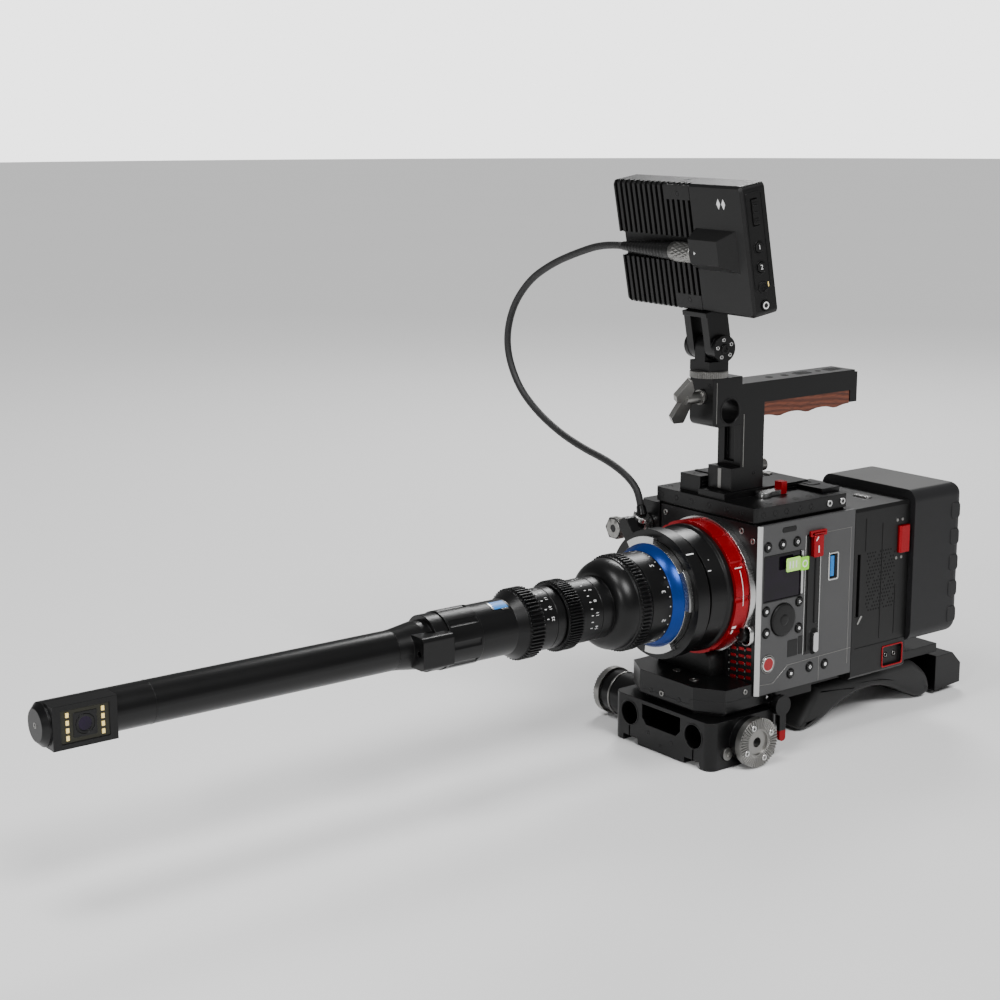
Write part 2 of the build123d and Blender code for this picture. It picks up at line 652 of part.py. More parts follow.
def side_keys():
    for name, (y, z, radius) in key_places().items():
        inner = BODY_HALF_WIDTH + KEY_PROUD - KEY_DEPTH
        cap = rod_x((inner, BODY_HALF_WIDTH + KEY_PROUD), y, z, radius)
        cap = fillet(cap.edges().group_by(Axis.X)[-1], KEY_ROUND)
        back = BODY_HALF_WIDTH - SIDE_PANEL_THICK - RUN_GAP
        cap += rod_x((back - KEY_FLANGE, back), y, z, radius + KEY_FLANGE)
        keep(name, cap)
    dial = rod_x((BODY_HALF_WIDTH - JOG_SINK + RUN_GAP, BODY_HALF_WIDTH + JOG_PROUD),
                 JOG_Y, JOG_Z, JOG_RADIUS)
    dial = fillet(dial.edges().group_by(Axis.X)[-1], JOG_ROUND)
    dial += rod_x((BODY_HALF_WIDTH - SIDE_PANEL_THICK - 1, BODY_HALF_WIDTH), JOG_Y, JOG_Z, JOG_AXLE)
    dial -= Pos(BODY_HALF_WIDTH + JOG_PROUD, JOG_Y + JOG_DIMPLE_OFFSET, JOG_Z) * Sphere(JOG_DIMPLE)
    keep("jog_dial", dial)


def door_pivot():
    """X and Y of the card door's upright hinge line, along its front edge."""
    return BODY_HALF_WIDTH - DOOR_THICK / 2, DOOR_Y[0] + DOOR_THICK / 2


def card_door():
    """Hinged cover of the recording-card slot and the latch that slides on it."""
    x = (BODY_HALF_WIDTH - DOOR_THICK, BODY_HALF_WIDTH)
    pivot = door_pivot()
    door = block(x, (pivot[1], DOOR_Y[1]), DOOR_Z)
    door += rod_z(*pivot, DOOR_Z, DOOR_THICK / 2)
    door += rod_z(*pivot, (DOOR_Z[0] - DOOR_PIN_LENGTH, DOOR_Z[1] + DOOR_PIN_LENGTH), DOOR_PIN_RADIUS)
    proud, width, height = LATCH_SIZE
    stem = width / 2 - LATCH_STEM_INSET
    floor = BODY_HALF_WIDTH - LATCH_STEM_DEPTH
    low = LATCH_Z - stem - RUN_GAP
    high = LATCH_Z + stem + LATCH_TRAVEL + RUN_GAP
    door -= block((floor - RUN_GAP, BODY_HALF_WIDTH + 1), grown((LATCH_Y - stem, LATCH_Y + stem)),
                  (low, high))
    keep("card_door", door)
    latch = block((BODY_HALF_WIDTH + RUN_GAP, BODY_HALF_WIDTH + proud),
                  (LATCH_Y - width / 2, LATCH_Y + width / 2),
                  (LATCH_Z - height / 2, LATCH_Z + height / 2))
    latch = fillet(latch.edges().filter_by(Axis.X), width / 2 - LATCH_ROUND_GAP)
    latch += block((floor, BODY_HALF_WIDTH + RUN_GAP), (LATCH_Y - stem, LATCH_Y + stem),
                   (LATCH_Z - stem, LATCH_Z + stem))
    keep("card_door_latch", latch)


def image_sensor():
    """Sensor with its circuit board on pillars, seen only down the lens throat."""
    x, y, z = SENSOR_BOARD
    half = SENSOR_SIZE[0] / 2
    face = SENSOR_FACE_Y
    sensor = block((-half, half), (face, face + SENSOR_SIZE[1]),
                   (LENS_Z - SENSOR_SIZE[2] / 2, LENS_Z + SENSOR_SIZE[2] / 2))
    board_y = (face + SENSOR_SIZE[1], face + SENSOR_SIZE[1] + y)
    sensor += block((-x / 2, x / 2), board_y, (LENS_Z - z / 2, LENS_Z + z / 2))
    for dx in (-1, 1):
        for dz in (-1, 1):
            place = (dx * (x / 2 - PILLAR_INSET), LENS_Z + dz * (z / 2 - PILLAR_INSET))
            if math.hypot(place[0], place[1] - LENS_Z) > THROAT_RADIUS + PILLAR_RADIUS:
                sensor += rod_y(place[0], (BODY_FRONT_Y + FRONT_THICK, board_y[0]), place[1], PILLAR_RADIUS)
    keep("image_sensor", sensor)


# ================================================================ top plate
def top_plate():
    inset = TOP_STEP_INSET
    plate = block(TOP_X, TOP_Y, (TOP_STEP_Z, TOP_Z))
    plate = chamfer(upright_edges(plate), TOP_CORNER)
    plate += block((TOP_X[0] + inset, TOP_X[1] - inset), (TOP_Y[0] + inset, TOP_Y[1] - inset),
                   (BODY_TOP_Z, TOP_STEP_Z))
    plate += block((-RAIL_HALF, RAIL_HALF), RAIL_Y, (TOP_Z, RAIL_Z))
    plate += block(SIDE_BLOCK_X, SIDE_BLOCK_Y, (TOP_Z, SIDE_BLOCK_Z))
    plate += block(REAR_PAD_X, REAR_PAD_Y, (TOP_Z, REAR_PAD_Z))
    hole = (TOP_Z - TOP_LEVER_POST - RUN_GAP, TOP_Z + 1)
    plate -= rod_z(*TOP_LEVER_PIVOT, hole, STEM_RADIUS + SHAFT_GAP)
    keep("top_plate", plate)
    x, y = TOP_LEVER_PIVOT
    z = (TOP_Z + RUN_GAP, TOP_Z + RUN_GAP + TOP_LEVER_THICK)
    lever = rod_z(x, y, z, TOP_LEVER_HUB)
    lever += block((x - TOP_LEVER_HALF, x + TOP_LEVER_HALF), (y, y + TOP_LEVER_LENGTH), z)
    tip = block((x - TOP_LEVER_HALF, x + TOP_LEVER_HALF),
                (y + TOP_LEVER_LENGTH - TOP_LEVER_TIP, y + TOP_LEVER_LENGTH), (z[0], z[1] + TOP_LEVER_TIP))
    post = rod_z(x, y, (TOP_Z - TOP_LEVER_POST, z[0]), STEM_RADIUS)
    keep("top_plate_lever", lever + tip + post)


# ================================================================ back module and battery
def back_module():
    half = BODY_HALF_WIDTH
    shell = block((-half, half), BACK_Y, BACK_Z)
    shell = chamfer(shell.edges().filter_by(Axis.Y), BACK_EDGE)
    wall = BACK_WALL
    shell -= block((-half + wall, half - wall), (BACK_Y[0] + wall, BACK_Y[1] - wall),
                   (BACK_Z[0] + wall, BACK_Z[1] - wall))
    shell -= block((half - RELEASE_DEPTH, half + 1), (RELEASE_Y[0] - RUN_GAP, BACK_Y[1] + 1),
                   grown(RELEASE_Z))
    shell -= block((half - SLOT_DEPTH, half + 1), SLOT_Y, SLOT_Z)
    shell -= block((half - SOCKET_DEPTH, half + 1), SOCKET_Y, SOCKET_Z)
    for offset in (-1, 1):
        y = sum(SOCKET_Y) / 2 + offset * SOCKET_HOLE * 2
        shell -= rod_x((half - wall - 1, half), y, sum(SOCKET_Z) / 2, SOCKET_HOLE)
    shell += battery_shoe(0)
    keep("back_module", shell)
    key = block((half - RELEASE_DEPTH + RELEASE_TRAVEL + RUN_GAP, half + RELEASE_PROUD), RELEASE_Y, RELEASE_Z)
    keep("battery_release", chamfer(key.edges().group_by(Axis.X)[-1].filter_by(Axis.Z), RELEASE_CHAMFER))


def battery_shoe(gap):
    """Dovetail wedge on the back module; with a gap it is the matching battery pocket."""
    middle = sum(BATTERY_Z) / 2
    low = middle - SHOE_HEIGHT / 2
    high = middle + SHOE_HEIGHT / 2
    y = (BACK_Y[1], BACK_Y[1] + SHOE_THICK)
    narrow = SHOE_HALF_WIDTH + gap
    wide = narrow + SHOE_FLARE
    outline = Polyline((-narrow, y[0] - gap), (narrow, y[0] - gap), (wide, y[1] + gap), (-wide, y[1] + gap),
                       close=True)
    if gap:
        low = BATTERY_Z[0] - 1
    return Pos(sum(BATTERY_X) / 2, 0, low) * extrude(make_face(outline), high + gap - low)


def battery():
    case = block(BATTERY_X, BATTERY_Y, BATTERY_Z)
    rear = case.edges().group_by(Axis.Y)[-1]
    case = fillet(case.edges().filter_by(Axis.Y) + rear, BATTERY_EDGE)
    pitch = (BATTERY_Z[1] - BATTERY_Z[0] - 2 * BATTERY_EDGE) / SCALLOPS
    for number in range(SCALLOPS):
        z = BATTERY_Z[0] + BATTERY_EDGE + pitch * (number + 0.5)
        y = BATTERY_Y[1] + SCALLOP_RADIUS - SCALLOP_DEPTH
        case -= rod_x((BATTERY_X[0] - 1, BATTERY_X[1] + 1), y, z, SCALLOP_RADIUS)
    case -= battery_shoe(RUN_GAP)
    keep("battery", case)


# ================================================================ shoulder pad
def shoulder_pad():
    """Arched foam pad: flat top against its bracket, hollow underside over the shoulder."""
    middle = PAD_ARCH[len(PAD_ARCH) // 2]
    arch = Spline((PAD_TIP_Y, 0), *PAD_ARCH, PAD_REAR_LOBE, tangents=((1, 0), (1, 0)))
    nose = Spline(PAD_REAR_LOBE, PAD_REAR, PAD_REAR_TOP, (PAD_REAR_TOP[0] - PAD_BACK_RUN, PAD_TOP_Z),
                  tangents=((1, 0), (-1, 0)))
    top = Line((PAD_REAR_TOP[0] - PAD_BACK_RUN, PAD_TOP_Z), (PAD_TOP_FRONT[0], PAD_TOP_Z))
    front = Polyline((PAD_TOP_FRONT[0], PAD_TOP_Z), (PAD_TOP_FRONT[0] - PAD_FRONT_LEAN, PAD_TOP_FRONT[1]),
                     (PAD_TIP_Y - PAD_TOE, PAD_TOE_Z))
    toe = Spline((PAD_TIP_Y - PAD_TOE, PAD_TOE_Z), (PAD_TIP_Y, 0), tangents=((0, -1), (1, 0)))
    face = Plane.YZ * make_face([arch, nose, top, front, toe])
    pad = Pos(-PAD_HALF_WIDTH, 0, 0) * extrude(face, 2 * PAD_HALF_WIDTH, dir=(1, 0, 0))
    keep("shoulder_pad", pad)


def pad_bracket():
    """Rail under the back module that carries the pad, and the rod block at its rear end."""
    half = BRACKET_HALF_WIDTH
    rail = block((-half, half), BRACKET_Y, BRACKET_Z)
    y, z = REAR_BLOCK_Y, REAR_BLOCK_Z
    cut = REAR_BLOCK_CHAMFER
    outline = [(y[0], z[0]), (y[1], z[0] + 2), (y[1], z[1] - cut), (y[1] - cut, z[1]), (y[0], z[1])]
    rail += side_profile(outline, REAR_BLOCK_HALF)
    rail += block((-REAR_NECK_HALF, REAR_NECK_HALF), (REAR_BLOCK_Y[0], BRACKET_Y[1]), (z[1], BRACKET_Z[1]))
    keep("pad_bracket", rail)


# ================================================================ lens mount
def camera_mount():
    """Steel flange on the front plate, with the sleeve that the lock ring turns on."""
    face = BODY_FRONT_Y
    step = face - FLANGE_THICK
    end = step - SLEEVE_LENGTH
    mount = turned([(face, THROAT_RADIUS), (face, FLANGE_RADIUS), (step, FLANGE_RADIUS),
                    (step, SLEEVE_RADIUS), (end, SLEEVE_RADIUS), (end, THROAT_RADIUS)])
    keep("camera_mount", mount)
    lock = ring((step - RUN_GAP - LOCK_RING_LENGTH, step - RUN_GAP), LOCK_RING_RADIUS,
                SLEEVE_RADIUS + RUN_GAP)
    for number in range(LOCK_NOTCHES):
        angle = number * 360 / LOCK_NOTCHES
        reach = LOCK_RING_RADIUS + LOCK_NOTCH_RADIUS - LOCK_NOTCH_DEPTH
        place = (reach * math.cos(math.radians(angle)), reach * math.sin(math.radians(angle)))
        lock -= rod_y(place[0], (end - 1, step), LENS_Z + place[1], LOCK_NOTCH_RADIUS)
    keep("lock_ring", lock)


def mount_adapter():
    rear = BODY_FRONT_Y - FLANGE_THICK - SLEEVE_LENGTH
    front = ADAPTER_FRONT_Y
    groove = front + BREECH_LENGTH + 2 * RUN_GAP
    spigot = THROAT_RADIUS - SHAFT_GAP
    body = turned([(rear + SPIGOT_LENGTH, ADAPTER_BORE), (rear + SPIGOT_LENGTH, spigot), (rear, spigot),
                   (rear, ADAPTER_REAR_RADIUS), (rear - ADAPTER_RIM, ADAPTER_REAR_RADIUS),
                   (rear - ADAPTER_RIM - 1, ADAPTER_REAR_RADIUS - ADAPTER_STEP),
                   (groove + ADAPTER_RIDGES, ADAPTER_FRONT_RADIUS + ADAPTER_STEP),
                   (groove + ADAPTER_RIDGES, ADAPTER_FRONT_RADIUS), (groove, ADAPTER_FRONT_RADIUS),
                   (groove, BREECH_SEAT_RADIUS), (front, BREECH_SEAT_RADIUS), (front, ADAPTER_BORE)])
    keep("mount_adapter", body)
    breech = ring((front + RUN_GAP, front + RUN_GAP + BREECH_LENGTH), BREECH_RADIUS,
                  BREECH_SEAT_RADIUS + RUN_GAP)
    width, depth, height = BREECH_GRIP
    grip = block((BREECH_RADIUS - 1, BREECH_RADIUS + height),
                 (front + RUN_GAP + 1, front + RUN_GAP + 1 + depth), (-width / 2, width / 2))
    grip = fillet(grip.edges().filter_by(Axis.Y).group_by(Axis.X)[-1], BREECH_GRIP_ROUND)
    breech += Pos(0, 0, LENS_Z) * Rot(0, BREECH_GRIP_ANGLE, 0) * grip
    keep("breech_ring", breech)


# ================================================================ lens
def lens_flange():
    """Steel bayonet flange: a thin disc with four tabs."""
    back = ADAPTER_FRONT_Y
    y = (back - FLANGE_DISC_THICK, back)
    flange = ring(y, FLANGE_RIM_RADIUS, ADAPTER_BORE)
    for number in range(FLANGE_TABS):
        start = FLANGE_TAB_TURN + number * 360 / FLANGE_TABS - FLANGE_TAB_ANGLE / 2
        tab = make_face([CenterArc((0, 0), FLANGE_TAB_RADIUS, start, FLANGE_TAB_ANGLE),
                         CenterArc((0, 0), FLANGE_RIM_RADIUS - 1, start, FLANGE_TAB_ANGLE),
                         *tab_sides(start)])
        flange += Pos(0, y[1], LENS_Z) * Rot(90, 0, 0) * extrude(tab, FLANGE_DISC_THICK)
    return flange


def tab_sides(start):
    """The two straight radial sides of one bayonet tab."""
    lines = []
    for angle in (start, start + FLANGE_TAB_ANGLE):
        x, y = math.cos(math.radians(angle)), math.sin(math.radians(angle))
        inner, outer = FLANGE_RIM_RADIUS - 1, FLANGE_TAB_RADIUS
        lines.append(Line((inner * x, inner * y), (outer * x, outer * y)))
    return lines


def lens_stations():
    """Y of the lens's joints, from its flange forwards."""
    rear = ADAPTER_FRONT_Y - FLANGE_DISC_THICK
    shoulder = rear - REAR_BARREL_LENGTH
    focus_front = shoulder - RUN_GAP - FOCUS_LENGTH
    iris_front = focus_front - RUN_GAP - IRIS_LENGTH
    cone_rear = iris_front - RUN_GAP
    collar = cone_rear - CONE_LENGTH
    nut_rear = collar - COLLAR_LENGTH
    nut_front = nut_rear - RUN_GAP - NUT_LENGTH
    return rear, shoulder, focus_front, iris_front, cone_rear, collar, nut_rear, nut_front


def lens_barrel():
    rear, shoulder, _, _, cone_rear, collar, nut_rear, _ = lens_stations()
    nose = nut_rear - NOSE_LENGTH
    barrel = turned([(rear, REAR_BORE), (rear, REAR_BARREL_RADIUS), (shoulder, REAR_BARREL_RADIUS),
                     (shoulder, CORE_RADIUS), (cone_rear, CORE_RADIUS), (cone_rear, CONE_RADIUS),
                     (collar, COLLAR_RADIUS), (nut_rear, COLLAR_RADIUS), (nut_rear, NOSE_RADIUS),
                     (nose, NOSE_RADIUS), (nose, NOSE_RADIUS - NOSE_WALL), (cone_rear, CORE_BORE),
                     (shoulder + REAR_BARREL_WALL, CORE_BORE), (shoulder + REAR_BARREL_WALL, REAR_BORE)])
    keep("lens_barrel", barrel + lens_flange())


def focus_ring():
    _, shoulder, front, _, _, _, _, _ = lens_stations()
    rear = shoulder - RUN_GAP
    bore = CORE_RADIUS + RUN_GAP
    gear_front = rear - REAR_GEAR_WIDTH
    drop = REAR_BARREL_RADIUS - FOCUS_RADIUS
    flare = []
    for step in range(FLARE_STEPS + 1):
        turn = math.pi / 2 * step / FLARE_STEPS
        flare.append((gear_front - FLARE_LENGTH * math.sin(turn), FOCUS_RADIUS + drop * math.cos(turn)))
    points = [(rear, bore), (rear, REAR_GEAR_RADIUS), (gear_front, REAR_GEAR_RADIUS)]
    points += flare
    points += [(front + SMALL_GEAR_WIDTH, FOCUS_RADIUS), (front + SMALL_GEAR_WIDTH, SMALL_GEAR_RADIUS),
               (front, SMALL_GEAR_RADIUS), (front, bore)]
    keep("focus_ring", turned(points))


def iris_ring():
    _, _, focus_front, front, _, _, _, _ = lens_stations()
    rear = focus_front - RUN_GAP
    bore = CORE_RADIUS + RUN_GAP
    gear = front + SMALL_GEAR_WIDTH
    keep("iris_ring", turned([(rear, bore), (rear, IRIS_BAND_RADIUS), (gear, IRIS_BAND_RADIUS),
                              (gear, SMALL_GEAR_RADIUS), (front, SMALL_GEAR_RADIUS), (front, bore)]))


def module_nut():
    """Fluted coupling nut that clamps the probe to the barrel."""
    *_, nut_rear, front = lens_stations()
    nut = ring((front, nut_rear - RUN_GAP), NUT_RADIUS, NOSE_RADIUS + RUN_GAP)
    for number in range(NUT_FLUTES):
        angle = math.radians(number * 360 / NUT_FLUTES)
        reach = NUT_RADIUS + NUT_FLUTE_RADIUS - NUT_FLUTE_DEPTH
        nut -= rod_y(reach * math.cos(angle), (front + NUT_RIM, nut_rear - RUN_GAP - NUT_RIM),
                     LENS_Z + reach * math.sin(angle), NUT_FLUTE_RADIUS)
    keep("module_nut", nut)


def lens_elements():
    """Glass groups cemented inside the barrel."""
    solids = []
    for station, radius, thick in ELEMENT_STATIONS:
        solids.append(turned([(station, 0), (station, radius), (station + thick, radius),
                              (station + thick, 0)]))
    keep("lens_elements", Compound(children=solids))


# ================================================================ probe
def probe_stations():
    """Y of the probe's steps, from the coupling nut forwards."""
    collar_rear = lens_stations()[-1] - RUN_GAP
    step_rear = collar_rear - PROBE_COLLAR_LENGTH
    flare_rear = step_rear - PROBE_STEP_LENGTH
    tube_rear = flare_rear - PROBE_FLARE_LENGTH
    head_rear = tube_rear - PROBE_TUBE_LENGTH
    return collar_rear, step_rear, flare_rear, tube_rear, head_rear


def probe_tube():
    collar_rear, step_rear, flare_rear, tube_rear, head_rear = probe_stations()
    nose = lens_stations()[-2] - NOSE_LENGTH
    plug = nose - RUN_GAP
    tube = turned([(collar_rear, PROBE_BORE), (plug, PROBE_BORE), (plug, NOSE_RADIUS),
                   (collar_rear, NOSE_RADIUS), (collar_rear, PROBE_COLLAR_RADIUS),
                   (step_rear, PROBE_COLLAR_RADIUS), (step_rear, PROBE_STEP_RADIUS),
                   (flare_rear, PROBE_STEP_RADIUS), (tube_rear, PROBE_RADIUS),
                   (head_rear, PROBE_RADIUS), (head_rear, PROBE_BORE)])
    envelope = turned([(collar_rear, 0), (collar_rear, PROBE_COLLAR_RADIUS), (step_rear, PROBE_COLLAR_RADIUS),
                       (step_rear, PROBE_STEP_RADIUS), (flare_rear, PROBE_STEP_RADIUS),
                       (tube_rear, PROBE_RADIUS), (head_rear, PROBE_RADIUS), (head_rear, 0)])
    box = block(SOCKET_BLOCK_X, SOCKET_BLOCK_Y, (LENS_Z - SOCKET_BLOCK_HALF, LENS_Z + SOCKET_BLOCK_HALF))
    box = fillet(box.edges().filter_by(Axis.Y).group_by(Axis.X)[-1], SOCKET_BLOCK_ROUND)
    box -= rod_y(sum(SOCKET_JACK_X) / 2, (SOCKET_BLOCK_Y[0] - 1, SOCKET_BLOCK_Y[0] + SOCKET_JACK_DEPTH),
                 LENS_Z, SOCKET_JACK_RADIUS)
    keep("probe_tube", tube + (box - envelope))


def probe_head():
    """Side-looking head: half round, half square, with a framed window in its flat face."""
    head_rear = probe_stations()[-1]
    front = head_rear - HEAD_LENGTH
    y = (front, head_rear)
    half = HEAD_HALF_HEIGHT
    head = rod_y(0, y, LENS_Z, PROBE_RADIUS)
    head += block((0, HEAD_FLAT_X), y, (LENS_Z - half, LENS_Z + half))
    nose = rod_y(0, (front - HEAD_NOSE, front), LENS_Z, PROBE_RADIUS)
    nose = chamfer(nose.edges().group_by(Axis.Y)[0], HEAD_NOSE - 1)
    head += nose
    frame_y, frame_z = FACE_FRAME
    middle = (y[0] + y[1]) / 2
    head -= block((HEAD_FLAT_X - FACE_SINK, HEAD_FLAT_X + 1), (middle - frame_y / 2, middle + frame_y / 2),
                  (LENS_Z - frame_z / 2, LENS_Z + frame_z / 2))
    floor = HEAD_FLAT_X - FACE_SINK
    head -= rod_x((floor - WINDOW_THICK, floor + 1), middle, LENS_Z, WINDOW_RADIUS)
    leds = []
    for side in (-1, 1):
        for number in range(LED_COUNT):
            z = LENS_Z + (number - (LED_COUNT - 1) / 2) * LED_PITCH
            y_led = middle + side * LED_COLUMN
            leds.append(block((floor, floor + FACE_SINK - LED_SINK),
                              (y_led - LED_SIZE[1] / 2, y_led + LED_SIZE[1] / 2),
                              (z - LED_SIZE[2] / 2, z + LED_SIZE[2] / 2)))
    keep("probe_head", head)
    keep("probe_window", rod_x((floor - WINDOW_THICK, floor), middle, LENS_Z, WINDOW_RADIUS))
    keep("probe_lights", Compound(children=leds))


# ================================================================ handle
def handle():
    half = (-HANDLE_HALF, HANDLE_HALF)
    block_y, block_z = BLOCK_Y, BLOCK_Z
    clamp = block(half, block_y, block_z)
    low_front = clamp.edges().filter_by(Axis.X).group_by(Axis.Z)[0].sort_by(Axis.Y)[0]
    clamp = fillet(low_front, BLOCK_CORNER)
    body = clamp + block(half, (POST_Y[0], BAR_BACK_Y), BAR_Z)
    body += block(half, POST_Y, (RAIL_Z, BAR_Z[1]))
    body += block(half, FOOT_Y, (RAIL_Z, FOOT_TOP_Z))
    body += block(half, (BAR_CAP_Y - BAR_CAP_THICK, BAR_CAP_Y), (BAR_CAP_Z, BAR_Z[1] - BAR_CAP_DROP))
    body -= rod_x((half[0] - 1, half[1] + 1), HANDLE_ROD_Y, HANDLE_ROD_Z, ROD_RADIUS + ROD_FIT)
    width, depth = POST_SLOT
    body -= block((-width / 2, width / 2), (POST_Y[0] - 1, POST_Y[0] + depth), POST_SLOT_Z)
    body -= rod_y(WING_X, (BLOCK_Y[0] - 1, BLOCK_Y[0] + BLOCK_STEM + RUN_GAP), WING_Z,
                  STEM_RADIUS + SHAFT_GAP)
    body -= rod_y(0, (FOOT_Y[1] - STEM_LENGTH - RUN_GAP, FOOT_Y[1] + 1), THUMB_Z, STEM_RADIUS + SHAFT_GAP)
    body -= rod_z(0, PAN_Y, (BLOCK_Z[1] - BLOCK_STEM - RUN_GAP, BLOCK_Z[1] + 1), PAN_STEM_RADIUS + SHAFT_GAP)
    keep("handle", body)
    grip = block((-HANDLE_HALF + WOOD_INSET, HANDLE_HALF - WOOD_INSET), WOOD_Y, WOOD_Z)
    for number in range(WOOD_LOBES + 1):
        y = WOOD_Y[0] + number * (WOOD_Y[1] - WOOD_Y[0]) / WOOD_LOBES
        grip -= rod_x((-HANDLE_HALF - 1, HANDLE_HALF + 1), y, WOOD_Z[0] - WOOD_LOBE_RADIUS + WOOD_LOBE_DEPTH,
                      WOOD_LOBE_RADIUS)
    keep("wood_grip", grip)


def handle_screws():
    """Wing lever of the rod clamp and the thumb screw of the foot."""
    y = BLOCK_Y[0]
    hub = rod_y(WING_X, (y - WING_LENGTH, y - WING_FLANGE - RUN_GAP), WING_Z, WING_HUB_RADIUS)
    hub += rod_y(WING_X, (y - WING_FLANGE - RUN_GAP, y - RUN_GAP), WING_Z, WING_FLANGE_RADIUS)
    hub += rod_y(WING_X, (y - RUN_GAP, y + BLOCK_STEM), WING_Z, STEM_RADIUS)
    for outline in (WING_LONG, WING_SHORT):
        wing = side_profile(outline, WING_THICK / 2)
        wing = fillet(wing.edges().filter_by(Axis.X), WING_ROUND)
        hub += Pos(WING_X, 0, WING_Z) * Rot(0, WING_TILT, 0) * wing
    keep("wing_lever", hub)
    y = FOOT_Y[1] + RUN_GAP
    thumb = rod_y(0, (y, y + THUMB_LENGTH), THUMB_Z, THUMB_RADIUS)
    thumb = fillet(thumb.edges().group_by(Axis.Y)[-1], THUMB_ROUND)
    thumb += rod_y(0, (FOOT_Y[1] - STEM_LENGTH, y), THUMB_Z, STEM_RADIUS)
    keep("thumb_screw", thumb)


# ================================================================ monitor
def monitor_hinge():
    base_z = BLOCK_Z[1]
    ring_part = rod_z(0, 0, (base_z + RUN_GAP, base_z + PAN_RING_HEIGHT), PAN_RING_RADIUS)
    ring_part += rod_z(0, 0, (base_z - BLOCK_STEM, base_z + RUN_GAP), PAN_STEM_RADIUS)
    x, y = HINGE_BLOCK
    top = TILT_Z - HINGE_RADIUS - HINGE_CLEAR
    base = ring_part + block((-x, x), (-y, y), (base_z + PAN_RING_HEIGHT, top))
    base += block((-TONGUE_HALF, TONGUE_HALF), (-y, y), (top, TILT_Z))
    base += rod_x((-TONGUE_HALF, TONGUE_HALF), 0, TILT_Z, y)
    base -= rod_x((-TONGUE_HALF - 1, TONGUE_HALF + 1), 0, TILT_Z, PIN_RADIUS + SHAFT_GAP)
    keep("pan_base", on_pan(base))
    neck = rod_x((-DISC_OUTER, DISC_OUTER), 0, 0, PIN_RADIUS)
    gap = TONGUE_HALF + RUN_GAP
    for side in (-1, 1):
        lug = sorted((side * gap, side * LUG_OUTER))
        neck += rod_x(lug, 0, 0, HINGE_RADIUS)
        neck += block(lug, (-HINGE_RADIUS, HINGE_RADIUS), (0, NECK_TOP - NECK_PLATE))
        disc = rod_x(sorted((side * LUG_OUTER, side * DISC_OUTER)), 0, 0, DISC_RADIUS)
        neck += disc
    neck += block((-NECK_HALF[0], NECK_HALF[0]), (-NECK_HALF[1], NECK_HALF[1]),
                  (NECK_TOP - NECK_PLATE, NECK_TOP))
    keep("tilt_neck", on_monitor(neck))


def monitor():
    width, depth, height = CASE_SIZE
    cx, cy, cz = CASE_CENTRE
    x = (cx - width / 2, cx + width / 2)
    y = (cy - depth / 2, cy + depth / 2)
    z = (cz - height / 2, cz + height / 2)
    case = block(x, y, z)
    case = fillet(case.edges().filter_by(Axis.Y), CASE_EDGE)
    case = chamfer(case.edges().group_by(Axis.Y)[0].filter_by(Axis.X), CASE_BEVEL)
    groove, groove_depth = RIB_GROOVE
    for number in range(RIB_COUNT):
        start = x[0] + RIB_START + number * RIB_PITCH
        case -= block((start, start + groove), (y[0] - 1, y[0] + groove_depth), (z[0] - 1, z[1] + 1))
    case += block(RIB_PAD_X, (y[0], y[0] + groove_depth), (z[1] - RIB_PAD_HEIGHT, z[1] - 1))
    case += block(RIB_PAD_X, (y[0], y[0] + groove_depth), (z[0] + 1, z[0] + RIB_PAD_HEIGHT))
    case += hump(y[0], cz, groove_depth)
    case -= block((x[0] - 1, HUMP_X[0]), (y[0] - 1, y[0] + BAY_DEPTH), (cz - BAY_LOW, cz + BAY_HIGH))
    socket_radius, socket_depth = VIDEO_SOCKET
    case -= rod_x((HUMP_X[0] - 1, HUMP_X[0] + socket_depth + RUN_GAP), VIDEO_AXIS_Y, cz - VIDEO_AXIS_DROP,
                  socket_radius + SHAFT_GAP)
    border_x, border_z = SCREEN_BORDER
    pane_x = (x[0] + border_x, x[1] - border_x)
    pane_z = (z[0] + border_z, z[1] - border_z)
    case -= block(pane_x, (y[1] - SCREEN_GLASS, y[1] + 1), pane_z)
    hollow_y = (y[0] + CASE_WALL + BAY_DEPTH, y[1] - CASE_WALL)
    case -= block((x[0] + CASE_WALL, x[1] - CASE_WALL - SIDE_KEY_DEPTH), hollow_y,
                  (z[0] + CASE_WALL + THREAD_BOSS, z[1] - CASE_WALL))
    for key_z in SIDE_KEYS.values():
        case -= rod_x((x[1] - SIDE_KEY_DEPTH, x[1] + 1), cy, cz + key_z, SIDE_KEY_RADIUS + RUN_GAP)
    rx, ry, rz = ROCKER_SIZE
    case -= block((x[1] - ROCKER_POCKET, x[1] + 1), (cy - ry / 2 - RUN_GAP, cy + ry / 2 + RUN_GAP),
                  (cz + ROCKER_Z - rz / 2 - 2 * RUN_GAP, cz + ROCKER_Z + rz / 2 + 2 * RUN_GAP))
    keep("monitor_case", on_monitor(case))
    keep("monitor_screen", on_monitor(block(pane_x, (y[1] - SCREEN_GLASS, y[1]), pane_z)))
    for name, key_z in SIDE_KEYS.items():
        inner = x[1] - SIDE_KEY_DEPTH + SIDE_KEY_PROUD + RUN_GAP
        cap = rod_x((inner, x[1] + SIDE_KEY_PROUD), cy, cz + key_z, SIDE_KEY_RADIUS)
        keep(name, on_monitor(cap))
    rocker = block((x[1] + SIDE_KEY_PROUD - rx, x[1] + SIDE_KEY_PROUD), (cy - ry / 2, cy + ry / 2),
                   (cz + ROCKER_Z - rz / 2, cz + ROCKER_Z + rz / 2))
    keep("monitor_rocker", on_monitor(rocker))


